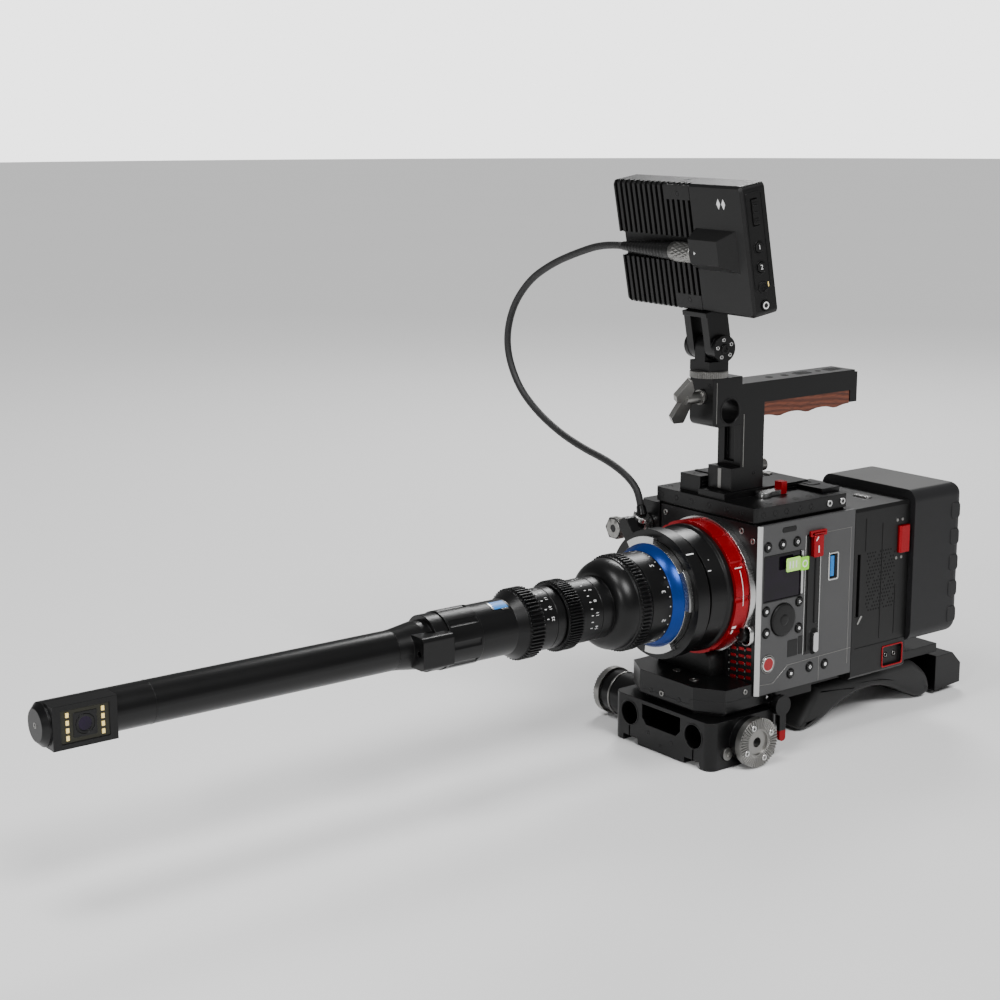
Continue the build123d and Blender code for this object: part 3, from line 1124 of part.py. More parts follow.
def hump(face_y, middle, root_depth):
    """Flat-topped raised boss on the monitor's back that holds the video socket."""
    wide, narrow = HUMP_HALF
    base = [(HUMP_X[0], middle - wide), (HUMP_X[1], middle - wide), (HUMP_X[1], middle + wide),
            (HUMP_X[0], middle + wide)]
    top_x = HUMP_X[0] + HUMP_TOP_RUN
    top = [(HUMP_X[0], middle - narrow), (top_x, middle - narrow), (top_x, middle + narrow),
           (HUMP_X[0], middle + narrow)]
    root = Plane((0, face_y + root_depth, 0), x_dir=(1, 0, 0), z_dir=(0, -1, 0))
    crest = Plane((0, face_y - HUMP_HEIGHT, 0), x_dir=(1, 0, 0), z_dir=(0, -1, 0))
    lower = root * make_face(Polyline(*[(px, pz) for px, pz in base], close=True))
    upper = crest * make_face(Polyline(*[(px, pz) for px, pz in top], close=True))
    return loft([lower, upper])


# ================================================================ monitor cable
def video_plug():
    """Knurled plug in the monitor's socket, with its tapered boot moulded on."""
    z = CASE_CENTRE[2] - VIDEO_AXIS_DROP
    socket_radius, socket_depth = VIDEO_SOCKET
    x = (HUMP_X[0] - VIDEO_PLUG_LENGTH, HUMP_X[0])
    plug = rod_x(x, VIDEO_AXIS_Y, z, VIDEO_PLUG_RADIUS)
    plug = chamfer(plug.edges().group_by(Axis.X)[0], VIDEO_PLUG_CHAMFER)
    plug += rod_x((x[1], x[1] + socket_depth), VIDEO_AXIS_Y, z, socket_radius)
    boot = Cone(VIDEO_PLUG_RADIUS - VIDEO_BOOT_STEP, CABLE_RADIUS + BOOT_LIP, VIDEO_BOOT_LENGTH)
    plug += Pos(x[0] - VIDEO_BOOT_LENGTH / 2, VIDEO_AXIS_Y, z) * Rot(0, -90, 0) * boot
    keep("video_plug", on_monitor(plug))


def camera_plug():
    """Right-angle plug on the camera's port: body along Y, cable leaving upwards."""
    front = PORT_BLOCK_Y[0]
    y = (front - ELBOW_LENGTH, front)
    nut_radius, nut_length = ELBOW_NUT
    plug = rod_y(PORT_X, y, PORT_Z, ELBOW_RADIUS)
    plug += rod_y(PORT_X, (front, front + PORT_DEPTH - RUN_GAP), PORT_Z, PORT_RADIUS - SHAFT_GAP)
    nut = Rot(90, 0, 0) * extrude(RegularPolygon(nut_radius, 6), nut_length)
    plug += Pos(PORT_X, y[0] + nut_length, PORT_Z) * nut
    collet = plug_mouth() * Pos(0, 0, -COLLET_LENGTH / 2)
    plug += collet * Cylinder(COLLET_RADIUS, COLLET_LENGTH)
    mouth = plug_mouth().position
    leave = cable_route()[-1]
    boot = Cone(CAMERA_BOOT_RADIUS, CABLE_RADIUS + BOOT_LIP, (leave - mouth).length)
    plug += Plane(mouth, z_dir=leave - mouth).location * Pos(0, 0, (leave - mouth).length / 2) * boot
    keep("camera_plug", plug)


def plug_mouth():
    """Location of the right-angle plug's outlet, its Z axis along the outlet."""
    place = Pos(PORT_X, PORT_BLOCK_Y[0] - ELBOW_OUT, PORT_Z) * Rot(0, COLLET_LEAN_DEG, 0)
    return place * Pos(0, 0, COLLET_LENGTH)


def boot_end():
    """Location of the monitor boot's narrow end, its X axis back along the boot."""
    x = HUMP_X[0] - VIDEO_PLUG_LENGTH - VIDEO_BOOT_LENGTH
    return on_monitor(Pos(x, VIDEO_AXIS_Y, CASE_CENTRE[2] - VIDEO_AXIS_DROP))


def cable_route():
    """Corner points of the cable's centre line, from the monitor to the camera."""
    start = boot_end().position
    first = (boot_end() * Pos(-CABLE_LEADS[0], 0, 0)).position
    end = Vector(CABLE_END[0], PORT_BLOCK_Y[0] - ELBOW_OUT, CABLE_END[1])
    last = end + (end - plug_mouth().position).normalized() * CABLE_LEADS[1]
    return [start, first, *[Vector(*corner) for corner in CABLE_CORNERS], last, end]


def video_cable():
    """Round tube along straight runs joined by tangent arcs."""
    points = cable_route()
    radii = []
    for before, corner, after in zip(points, points[1:], points[2:]):
        arriving = corner - before
        leaving = after - corner
        turn = math.radians(arriving.get_angle(leaving))
        shorter = min(arriving.length, leaving.length)
        radii.append(ARC_SHARE * shorter / math.tan(turn / 2))
    path = FilletPolyline(*points, radius=radii)
    section = Plane(path @ 0, z_dir=path % 0) * Circle(CABLE_RADIUS)
    tube = sweep(section, path)
    print("cable arc radii", [round(radius, 1) for radius in radii])
    print("cable length", round(path.length, 2), "volume", round(tube.volume, 1),
          "section times length", round(math.pi * CABLE_RADIUS ** 2 * path.length, 1))
    keep("video_cable", tube)


def main():
    os.makedirs("parts", exist_ok=True)
    for make in (base_plate, rosettes, clamp_screw, quick_release, plate_lock_lever, front_plate,
                 body_shell, side_panel, side_keys, card_door, image_sensor, top_plate, back_module,
                 battery, shoulder_pad, pad_bracket, camera_mount, mount_adapter,
                 lens_barrel, focus_ring, iris_ring, module_nut, lens_elements, probe_tube,
                 probe_head, handle, handle_screws, monitor_hinge, monitor, video_plug, camera_plug,
                 video_cable):
        make()
    for name, shape in NODES.items():
        export_step(shape, f"parts/{name}.step")


main()
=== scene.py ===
import math

import bpy
import numpy as np
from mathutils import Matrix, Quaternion, Vector


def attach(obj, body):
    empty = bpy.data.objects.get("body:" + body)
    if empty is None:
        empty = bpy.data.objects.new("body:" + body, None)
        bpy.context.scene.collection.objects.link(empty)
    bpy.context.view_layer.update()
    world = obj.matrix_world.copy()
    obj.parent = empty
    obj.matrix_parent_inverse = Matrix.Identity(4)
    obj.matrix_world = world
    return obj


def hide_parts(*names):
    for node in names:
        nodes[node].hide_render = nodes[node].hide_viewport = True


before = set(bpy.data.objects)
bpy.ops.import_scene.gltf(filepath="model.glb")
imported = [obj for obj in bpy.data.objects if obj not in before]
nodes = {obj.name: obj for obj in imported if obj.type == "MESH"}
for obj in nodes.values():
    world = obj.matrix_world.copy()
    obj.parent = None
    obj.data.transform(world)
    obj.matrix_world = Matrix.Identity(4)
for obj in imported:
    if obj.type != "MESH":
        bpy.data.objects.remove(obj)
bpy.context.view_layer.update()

MM = 0.001
TAU = 2 * math.pi
GRAIN_DEPTH = 0.00012           # metres of relief in a surface's grain
WOOD_DEPTH = 0.0002

# ---------------------------------------------------------------- frame sizes, in millimetres
LENS_Z = 106.35
PAN_Y, TILT_Z = 5.0, 258.5
PAN_TURN, TILT_TURN = math.radians(-4.7), math.radians(10.0)
SIDE_X = 46.0
FRONT_Y = 7.0
TOP_Z = 161.5
SEGMENTS = 48

# ================================================================ camera
EYE = Vector((0.849108, -0.805434, 0.410373))
AIM = Vector((0.0, -0.159078, 0.182423))
ROLL = math.radians(-0.188)


def make_camera():
    """Camera at EYE looking at AIM, rolled about its own axis."""
    data = bpy.data.cameras.new("camera")
    data.lens, data.sensor_width = 67.9, 36.0
    data.clip_start, data.clip_end = 0.01, 60.0
    camera = bpy.data.objects.new("camera", data)
    bpy.context.scene.collection.objects.link(camera)
    camera.location = EYE
    camera.rotation_mode = "QUATERNION"
    turn = (AIM - EYE).to_track_quat("-Z", "Y")
    camera.rotation_quaternion = turn @ Quaternion((0, 0, 1), ROLL)
    bpy.context.scene.camera = camera


make_camera()


# ================================================================ shader maths
class Flow:
    """A shader socket; its operators add Math nodes to the tree it belongs to."""

    def __init__(self, shader, socket):
        self.shader, self.socket = shader, socket

    def maths(self, operation, *values):
        """One Math node over sockets and numbers."""
        made = self.shader.node("ShaderNodeMath", {"operation": operation}, dict(enumerate(values)))
        return Flow(self.shader, made.outputs[0])

    def __add__(self, other):
        return self.maths("ADD", self, other)

    __radd__ = __add__

    def __sub__(self, other):
        return self.maths("SUBTRACT", self, other)

    def __rsub__(self, other):
        return self.maths("SUBTRACT", other, self)

    def __mul__(self, other):
        return self.maths("MULTIPLY", self, other)

    __rmul__ = __mul__

    def __truediv__(self, other):
        return self.maths("DIVIDE", self, other)

    def above(self, level, soft=0.05):
        """0 below the level and 1 above it, with a soft edge."""
        made = self.shader.node("ShaderNodeMapRange", {"interpolation_type": "SMOOTHSTEP"},
                                {0: self, 1: level - soft, 2: level + soft, 3: 0.0, 4: 1.0})
        return Flow(self.shader, made.outputs[0])

    def between(self, low, high, soft=0.05):
        """1 between two levels and 0 outside them."""
        return self.above(low, soft) * (1 - self.above(high, soft))

    def size(self):
        """Absolute value."""
        return self.maths("ABSOLUTE", self)

    def root(self):
        """Square root."""
        return self.maths("SQRT", self)

    def wave(self):
        """Sine."""
        return self.maths("SINE", self)


class Shader:
    """A node material built from method calls."""

    def __init__(self, name):
        self.material = bpy.data.materials.new(name)
        self.material.use_nodes = True
        self.tree = self.material.node_tree
        self.tree.nodes.clear()
        coordinate = self.tree.nodes.new("ShaderNodeTexCoord")
        scaled = self.node("ShaderNodeVectorMath", {"operation": "SCALE"},
                           {0: coordinate.outputs["Object"], "Scale": 1000.0})
        self.place = scaled.outputs[0]
        split = self.node("ShaderNodeSeparateXYZ", {}, {0: self.place})
        self.x, self.y, self.z = (Flow(self, out) for out in split.outputs)

    def node(self, kind, settings=None, values=None):
        """A node of that type: its settings are set first, then its input values are fed."""
        made = self.tree.nodes.new(kind)
        for key, value in (settings or {}).items():
            setattr(made, key, value)
        for key, value in (values or {}).items():
            self.feed(made.inputs[key], value)
        return made

    def feed(self, socket, value):
        """Links a socket or sets a constant."""
        if isinstance(value, Flow):
            self.tree.links.new(value.socket, socket)
        elif isinstance(value, bpy.types.NodeSocket):
            self.tree.links.new(value, socket)
        else:
            socket.default_value = value

    def noise(self, scale, detail=3.0, stretch=None):
        """Noise of the given grains per millimetre, stretched along the axes if asked."""
        place = self.place
        if stretch:
            place = self.node("ShaderNodeVectorMath", {"operation": "MULTIPLY"},
                              {0: place, 1: stretch}).outputs[0]
        made = self.node("ShaderNodeTexNoise", {}, {"Vector": place, "Scale": scale, "Detail": detail})
        return Flow(self, made.outputs[0])

    def blend(self, factor, first, second):
        """Colour mix; first and second are colours or colour sockets."""
        made = self.node("ShaderNodeMix", {"data_type": "RGBA"}, {0: factor, 6: first, 7: second})
        return made.outputs[2]

    def radius(self, centre, axes):
        """Distance from a centre line, in the two named axes."""
        first = getattr(self, axes[0]) - centre[0]
        second = getattr(self, axes[1]) - centre[1]
        return (first * first + second * second).root()


def rgb(red, green, blue):
    """Opaque colour in linear light."""
    return (red, green, blue, 1.0)


class Coat:
    """A surface finish: two tones, roughness and how metallic it is."""

    def __init__(self, dark, light, rough, metallic=0.0):
        self.dark, self.light, self.rough, self.metallic = dark, light, rough, metallic


BLACK = Coat(rgb(0.0012, 0.0012, 0.0013), rgb(0.003, 0.003, 0.0032), 0.33, 0.0)
SATIN = Coat(rgb(0.0018, 0.0018, 0.0019), rgb(0.004, 0.004, 0.0042), 0.30, 0.0)
CHARCOAL = Coat(rgb(0.0025, 0.0025, 0.0025), rgb(0.005, 0.005, 0.005), 0.42, 0.0)
GREY = Coat(rgb(0.052, 0.052, 0.053), rgb(0.082, 0.082, 0.083), 0.45, 0.15)
STEEL = Coat(rgb(0.42, 0.42, 0.42), rgb(0.68, 0.68, 0.67), 0.26, 1.0)
DULL_STEEL = Coat(rgb(0.17, 0.168, 0.162), rgb(0.36, 0.355, 0.34), 0.36, 1.0)
RED = Coat(rgb(0.22, 0.0005, 0.004), rgb(0.36, 0.001, 0.008), 0.27, 0.45)
BLUE = Coat(rgb(0.001, 0.018, 0.12), rgb(0.003, 0.045, 0.26), 0.26, 0.5)
WHITE = Coat(rgb(0.70, 0.70, 0.70), rgb(0.88, 0.88, 0.88), 0.5, 0.0)
# painted shade: near-black coat laid over holes, slots and recess floors in place of the shade inside them
HOLE_SHADE = Coat(rgb(0.001, 0.001, 0.001), rgb(0.003, 0.003, 0.003), 0.8, 0.0)


def finish(name, coat, regions=(), grain=2.5, bump=0.10, drift=0.05, edge=0.5, coat_gloss=0.0,
           scratches=0.0, emission=None, stretch=None, shine=0.3):
    """Principled material: tones drift with a coarse and a fine noise, each region (mask, coat) is laid
    over the last, fine grain bumps the surface, and edges are rounded by the given millimetres."""
    shader = Shader(name)
    broad = shader.noise(0.03, 2.0)
    fine = shader.noise(grain, 4.0, stretch)
    tone = broad * 0.6 + fine * 0.4
    colour = shader.blend(tone, coat.dark, coat.light)
    rough = coat.rough + (tone - 0.5) * (2 * drift)
    metallic = None
    for mask_of, other in regions:
        mask = mask_of(shader)
        colour = shader.blend(mask, colour, shader.blend(tone, other.dark, other.light))
        rough = rough + mask * (other.rough - coat.rough)
        metallic = (coat.metallic if metallic is None else metallic) + mask * (other.metallic - coat.metallic)
    height = fine
    if scratches:
        streaks = shader.noise(1.2, 5.0, (6.0, 0.15, 6.0))
        rough = rough + (streaks - 0.5) * scratches
        height = height + streaks * 0.3
    surface = shader.node("ShaderNodeBsdfPrincipled")
    shader.feed(surface.inputs["Base Color"], colour)
    shader.feed(surface.inputs["Roughness"], rough)
    shader.feed(surface.inputs["Metallic"], coat.metallic if metallic is None else metallic)
    surface.inputs["Specular IOR Level"].default_value = shine
    surface.inputs["Coat Weight"].default_value = coat_gloss
    surface.inputs["Coat Roughness"].default_value = 0.12
    if emission:
        surface.inputs["Emission Color"].default_value = emission[0]
        surface.inputs["Emission Strength"].default_value = emission[1]
    relief = {"Strength": bump, "Distance": GRAIN_DEPTH, "Height": height}
    if edge:
        rounded = shader.node("ShaderNodeBevel", {"samples": 4}, {"Radius": edge * MM})
        relief["Normal"] = rounded.outputs[0]
    shader.feed(surface.inputs["Normal"], shader.node("ShaderNodeBump", {}, relief).outputs[0])
    output = shader.node("ShaderNodeOutputMaterial")
    shader.tree.links.new(surface.outputs[0], output.inputs[0])
    return shader.material


def wood_finish():
    """Oiled hardwood: long wavering grain along the handle with dark pores."""
    shader = Shader("oiled_hardwood")
    warp = shader.noise(0.08, 3.0, (1.0, 0.35, 1.0))
    lines = ((shader.z * 2.1 + shader.x * 0.9 + warp * 16.0) + shader.y * 0.09).wave() * 0.5 + 0.5
    pores = shader.noise(1.6, 6.0, (3.0, 0.14, 3.0))
    streak = lines * 0.55 + pores * 0.45
    colour = shader.blend(streak, rgb(0.042, 0.0095, 0.0045), rgb(0.185, 0.046, 0.018))
    colour = shader.blend(1 - pores.above(0.40, 0.05), colour, rgb(0.030, 0.009, 0.005))
    surface = shader.node("ShaderNodeBsdfPrincipled")
    shader.feed(surface.inputs["Base Color"], colour)
    shader.feed(surface.inputs["Roughness"], 0.62 - streak * 0.22)
    bump = shader.node("ShaderNodeBump", {}, {"Strength": 0.35, "Distance": WOOD_DEPTH, "Height": streak})
    shader.feed(surface.inputs["Normal"], bump.outputs[0])
    output = shader.node("ShaderNodeOutputMaterial")
    shader.tree.links.new(surface.outputs[0], output.inputs[0])
    return shader.material


def glass_finish(name, tint, rough=0.04):
    """Dark coated glass whose reflection is violet to green by a slow noise."""
    shader = Shader(name)
    hue = shader.noise(0.12, 1.0)
    colour = shader.blend(hue, tint, rgb(tint[0] * 1.8 + 0.004, tint[1] * 1.4, tint[2] * 2.2 + 0.006))
    surface = shader.node("ShaderNodeBsdfPrincipled")
    shader.feed(surface.inputs["Base Color"], colour)
    shader.feed(surface.inputs["Roughness"], rough + shader.noise(0.4, 3.0) * 0.05)
    surface.inputs["Specular IOR Level"].default_value = 0.22
    output = shader.node("ShaderNodeOutputMaterial")
    shader.tree.links.new(surface.outputs[0], output.inputs[0])
    return shader.material


def braid_finish():
    """Cable jacket: two crossing families of fine lines along the cable's own UV map."""
    shader = Shader("cable_jacket")
    uv = shader.node("ShaderNodeTexCoord").outputs["UV"]
    split = shader.node("ShaderNodeSeparateXYZ", {}, {0: uv})
    u, v = Flow(shader, split.outputs[0]), Flow(shader, split.outputs[1])
    weave = ((u * 1400.0 + v * 50.0).wave() + (u * 1400.0 - v * 50.0).wave()) * 0.25 + 0.5
    colour = shader.blend(weave, rgb(0.005, 0.005, 0.005), rgb(0.016, 0.016, 0.017))
    surface = shader.node("ShaderNodeBsdfPrincipled")
    shader.feed(surface.inputs["Base Color"], colour)
    shader.feed(surface.inputs["Roughness"], 0.50 + shader.noise(0.3, 3.0) * 0.14)
    bump = shader.node("ShaderNodeBump", {}, {"Strength": 0.12, "Distance": GRAIN_DEPTH, "Height": weave})
    shader.feed(surface.inputs["Normal"], bump.outputs[0])
    output = shader.node("ShaderNodeOutputMaterial")
    shader.tree.links.new(surface.outputs[0], output.inputs[0])
    return shader.material


# ================================================================ mesh making
class Place:
    """Where a piece is built: an origin and three axes, in millimetres."""

    def __init__(self, origin, across, along, out):
        self.origin = np.array(origin, float)
        self.axes = np.array([across, along, out], float)

    def at(self, across, along, out=0.0):
        """The same axes with the origin moved along them."""
        return Place(self.origin + np.array([across, along, out]) @ self.axes, *self.axes)

    def turned(self, angle):
        """The same place turned about its out axis."""
        c, s = math.cos(angle), math.sin(angle)
        across = c * self.axes[0] + s * self.axes[1]
        along = -s * self.axes[0] + c * self.axes[1]
        return Place(self.origin, across, along, self.axes[2])

    def points(self, local):
        """Local points in millimetres taken to the frame."""
        return self.origin + np.asarray(local, float) @ self.axes


def right_face(x=SIDE_X):
    """Operator's side: across is +Y, along is +Z, out is +X."""
    return Place((x, 0, 0), (0, 1, 0), (0, 0, 1), (1, 0, 0))


def left_face(x):
    """Far side: across is -Y, along is +Z, out is -X."""
    return Place((x, 0, 0), (0, -1, 0), (0, 0, 1), (-1, 0, 0))


def front_face(y=FRONT_Y):
    """Lens side: across is +X, along is +Z, out is -Y."""
    return Place((0, y, 0), (1, 0, 0), (0, 0, 1), (0, -1, 0))


def rear_face(y):
    """Back: across is -X, along is +Z, out is +Y."""
    return Place((0, y, 0), (-1, 0, 0), (0, 0, 1), (0, 1, 0))


def top_face(z):
    """Top: across is +X, along is +Y, out is +Z."""
    return Place((0, 0, z), (1, 0, 0), (0, 1, 0), (0, 0, 1))


LENS_AXIS = Place((0, 0, LENS_Z), (1, 0, 0), (0, 0, 1), (0, -1, 0))


def monitor_turn():
    """Rotation that takes upright monitor coordinates to the resting tilt and pan."""
    ct, st = math.cos(TILT_TURN), math.sin(TILT_TURN)
    cp, sp = math.cos(PAN_TURN), math.sin(PAN_TURN)
    tilt = np.array([[1, 0, 0], [0, ct, -st], [0, st, ct]])
    pan = np.array([[cp, -sp, 0], [sp, cp, 0], [0, 0, 1]])
    return pan @ tilt


def on_monitor(place):
    """A place in the monitor's own upright coordinates, tilted and panned to rest."""
    turn = monitor_turn()
    return Place(turn @ place.origin + (0, PAN_Y, TILT_Z), *(place.axes @ turn.T))


def circle(radius, count=SEGMENTS):
    """Points at equal angles on a circle."""
    angle = np.arange(count) * TAU / count
    return np.stack([radius * np.cos(angle), radius * np.sin(angle)], 1)


def polygon(radius, sides, count=SEGMENTS):
    """Regular polygon of that corner radius, sampled at equal angles."""
    angle = np.arange(count) * TAU / count
    half = math.pi / sides
    reach = radius * math.cos(half) / np.cos((angle % (2 * half)) - half)
    return np.stack([reach * np.cos(angle), reach * np.sin(angle)], 1)


def rounded(width, height, corner, count=SEGMENTS):
    """Rectangle whose four corners are quarter circles."""
    corner = max(min(corner, width / 2 - 1e-3, height / 2 - 1e-3), 1e-3)
    each = count // 4
    angle = np.concatenate([np.linspace(q, q + 1, each) * math.pi / 2 for q in range(4)])
    side = np.repeat(np.array([[1, 1], [-1, 1], [-1, -1], [1, -1]], float), each, 0)
    offset = side * (width / 2 - corner, height / 2 - corner)
    return offset + corner * np.stack([np.cos(angle), np.sin(angle)], 1)


def toothed(radius, depth, teeth, count, sharp=3.0):
    """Circle with that many teeth: the radius drops by depth in each gap, with steep flanks."""
    angle = np.arange(count) * TAU / count
    wave = np.clip(np.cos(teeth * angle) * sharp, -1, 1)
    reach = radius - depth * (1 - wave) / 2
    return np.stack([reach * np.cos(angle), reach * np.sin(angle)], 1)


def stack(levels, place, loop=False, flat_ends=False):
    """Surface through a pile of outlines, each (outline, height) with equal point counts. The ends are
    closed by a fan to their centres, or by a strip between facing sides of the outline, or with loop
    the last outline joins the first."""
    rings = [np.column_stack([outline, np.full(len(outline), height)]) for outline, height in levels]
    count = len(rings[0])
    verts = np.concatenate(rings)
    here = np.arange(count)
    after = (here + 1) % count
    faces = []
    pairs = len(rings) if loop else len(rings) - 1
    for level in range(pairs):
        low, high = level * count, (level + 1) % len(rings) * count
        faces += np.column_stack([low + here, low + after, high + after, high + here]).tolist()
    if flat_ends:
        near = np.arange(count // 2 - 1)
        strip = np.column_stack([near, near + 1, count - 2 - near, count - 1 - near])
        faces += strip[:, ::-1].tolist() + (strip + (len(rings) - 1) * count).tolist()
    elif not loop:
        base = len(verts)
        verts = np.vstack([verts, rings[0].mean(0), rings[-1].mean(0)])
        top = (len(rings) - 1) * count
        faces += np.column_stack([after, here, np.full(count, base)]).tolist()
        faces += np.column_stack([top + here, top + after, np.full(count, base + 1)]).tolist()
    return place.points(verts), faces


def build(name, parts, material, body, sharp=35.0, smooth=True):
    """One mesh object from (points in millimetres, faces) parts, riding on a body."""
    points, faces, offset = [], [], 0
    for part_points, part_faces in parts:
        points.append(part_points)
        faces += [[index + offset for index in face] for face in part_faces]
        offset += len(part_points)
    mesh = bpy.data.meshes.new(name)
    mesh.from_pydata((np.concatenate(points) * MM).tolist(), [], faces)
    mesh.polygons.foreach_set("use_smooth", [smooth] * len(mesh.polygons))
    mesh.set_sharp_from_angle(angle=math.radians(sharp))
    mesh.materials.append(material)
    mesh.update()
    piece = bpy.data.objects.new(name, mesh)
    bpy.context.scene.collection.objects.link(piece)
    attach(piece, body)
    return piece


def shrink(outline, inset):
    """Outline moved inwards towards its middle by about the inset."""
    reach = np.linalg.norm(outline, axis=1, keepdims=True)
    return outline * np.maximum(1 - inset / np.maximum(reach, 1e-6), 0.0)


def plate(place, width, height, thick, corner=0.8, lip=0.15, sink=0.1):
    """Thin rounded plate with a softened upper edge, let a little into what it lies on."""
    full = rounded(width, height, corner, 24)
    inner = rounded(width - 2 * lip, height - 2 * lip, max(corner - lip, 0.05), 24)
    return stack([(full, -sink), (full, thick - lip), (inner, thick)], place)


def frame_ring(place, outer, inner, thick, lip=0.15, sink=0.1):
    """Raised frame between two outlines, its upper edges softened."""
    return stack([(outer, -sink), (outer, thick - lip), (shrink(outer, lip), thick),
                  (shrink(inner, -lip), thick), (inner, thick - lip), (inner, -sink)], place, loop=True)


def socket_screw(place, radius=2.2, head=0.6, sink=0.1):
    """Screw head with a chamfered rim and a hexagon socket."""
    hexagon = polygon(radius * 0.5, 6, 24)
    return stack([(circle(radius, 24), -sink), (circle(radius, 24), head - 0.2),
                  (circle(radius - 0.2, 24), head),
                  (hexagon * 1.15, head), (hexagon, head - 0.15), (hexagon, -sink + 0.05)], place)


def stud_hole(place, radius=1.6, rim=0.35, thick=0.12):
    """Rim of a threaded hole: a low ring whose inside goes down to a dark floor."""
    return stack([(circle(radius + rim, 24), -0.1), (circle(radius + rim, 24), thick * 0.5),
                  (circle(radius + rim * 0.6, 24), thick), (circle(radius, 24), thick),
                  (circle(radius * 0.96, 24), 0.02)], place)


def band(y0, y1, start_deg, end_deg, radius, thick=0.12, steps=24, radius_end=None):
    """Patch of a lens ring between two angles, raised a little: closed box in polar coordinates."""
    radius_end = radius if radius_end is None else radius_end
    angle = np.radians(np.linspace(start_deg, end_deg, steps))
    verts = []
    for y, reach in ((y0, radius - 0.1), (y1, radius_end - 0.1), (y1, radius_end + thick),
                     (y0, radius + thick)):
        verts.append(np.column_stack([reach * np.cos(angle), np.full(steps, y),
                                      LENS_Z + reach * np.sin(angle)]))
    verts = np.stack(verts, 1).reshape(-1, 3)
    faces = []
    for step in range(steps - 1):
        for side in range(4):
            low, high = step * 4 + side, step * 4 + (side + 1) % 4
            faces.append([low, high, high + 4, low + 4])
    last = (steps - 1) * 4
    faces += [[3, 2, 1, 0], [last, last + 1, last + 2, last + 3]]
    if y1 > y0:
        faces = [face[::-1] for face in faces]
    return verts, faces


def digits(text, size):
    """Flat outline of digits as points and faces in millimetres, centred."""
    curve = bpy.data.curves.new("digits", "FONT")
    curve.body, curve.size = text, size
    curve.align_x, curve.align_y = "CENTER", "CENTER"
    holder = bpy.data.objects.new("digits", curve)
    mesh = bpy.data.meshes.new_from_object(holder)
    flat = np.zeros(len(mesh.vertices) * 3)
    mesh.vertices.foreach_get("co", flat)
    faces = [list(face.vertices) for face in mesh.polygons]
    bpy.data.objects.remove(holder)
    bpy.data.curves.remove(curve)
    bpy.data.meshes.remove(mesh)
    return flat.reshape(-1, 3), faces


def flat_mark(text, size, place, lift=0.06):
    """Digits lying just over a flat face."""
    points, faces = digits(text, size)
    points[:, 2] = lift
    return place.points(points), faces


def ring_mark(text, size, angle_deg, y, radius, turn=0.0):
    """Digits wrapped on a lens ring: their width goes round it and their height along it."""
    points, faces = digits(text, size)
    c, s = math.cos(turn), math.sin(turn)
    across = c * points[:, 0] - s * points[:, 1]
    along = s * points[:, 0] + c * points[:, 1]
    angle = math.radians(angle_deg) + across / radius
    reach = radius + 0.06
    wrapped = np.column_stack([reach * np.cos(angle), y + along, LENS_Z + reach * np.sin(angle)])
    return wrapped, [face[::-1] for face in faces]


# ================================================================ materials
black_metal = finish("black_anodised", BLACK)
black_satin = finish("black_satin", SATIN, scratches=0.06)
black_plastic = finish("grained_plastic", CHARCOAL, grain=5.0, bump=0.22)
grey_panel = finish("grey_paint", GREY, grain=7.0, bump=0.30, drift=0.06)
steel = finish("machined_steel", STEEL, scratches=0.15, edge=0.3)
dull_steel = finish("worn_steel", DULL_STEEL, grain=3.0, scratches=0.2, edge=0.3)
red_metal = finish("red_anodised", RED, edge=0.4)
blue_metal = finish("blue_anodised", BLUE, edge=0.2)
white_mark = finish("white_mark", WHITE, edge=0.0, bump=0.05)
# painted shade for holes, slots and recesses, not a colour of the camera
hole_shade = finish("painted_hole_shade", HOLE_SHADE, edge=0.0, bump=0.05)
rubber = finish("moulded_rubber", CHARCOAL, grain=3.0, bump=0.25, edge=0.6)
pad_rubber = finish("pad_foam", Coat(rgb(0.012, 0.012, 0.012), rgb(0.022, 0.022, 0.022), 0.55), grain=1.4,
                    bump=0.30, edge=0.0)
wood = wood_finish()
screen_glass = glass_finish("screen_glass", rgb(0.002, 0.002, 0.0025))
lens_glass = glass_finish("coated_glass", rgb(0.004, 0.003, 0.007))
jacket = braid_finish()
green_card = finish("green_card", Coat(rgb(0.22, 0.68, 0.02), rgb(0.34, 0.85, 0.05), 0.45), edge=0.1)
pale_card = finish("pale_card", Coat(rgb(0.42, 0.80, 0.14), rgb(0.52, 0.90, 0.22), 0.45), edge=0.1)
lamp = finish("lamp_resin", Coat(rgb(0.80, 0.58, 0.14), rgb(0.92, 0.78, 0.34), 0.4), edge=0.0,
              emission=(rgb(1.0, 0.74, 0.26), 0.45))
board = finish("circuit_board", Coat(rgb(0.004, 0.03, 0.012), rgb(0.01, 0.06, 0.02), 0.5), edge=0.0)
blue_tongue = finish("blue_plastic", Coat(rgb(0.01, 0.13, 0.42), rgb(0.02, 0.22, 0.62), 0.35), edge=0.1)

front_paint = finish(
    "front_paint", Coat(rgb(0.012, 0.012, 0.0125), rgb(0.028, 0.026, 0.027), 0.30, 0.6),
    regions=[(lambda s: s.x.above(44.05, 0.05) * (1 - s.y.above(9.9, 0.05)), STEEL)], edge=0.3)
barrel_metal = finish(
    "barrel_metal", BLACK, regions=[(lambda s: s.y.above(-42.62, 0.02), STEEL)], edge=0.4)
mount_metal = finish("mount_steel", STEEL, scratches=0.1, edge=0.6)
record_cap = finish(
    "record_cap", RED,
    regions=[(lambda s: s.radius((16.6, 61.5), "yz").above(4.1, 0.15), STEEL)], edge=0.6, coat_gloss=0.4)
lever_metal = finish(
    "lever_metal", BLACK, regions=[(lambda s: 1 - s.z.above(17.0, 0.1), RED)], edge=0.4)
top_lever_metal = finish(
    "top_lever_metal", STEEL, regions=[(lambda s: s.y.above(50.6, 0.1), RED)], edge=0.3)
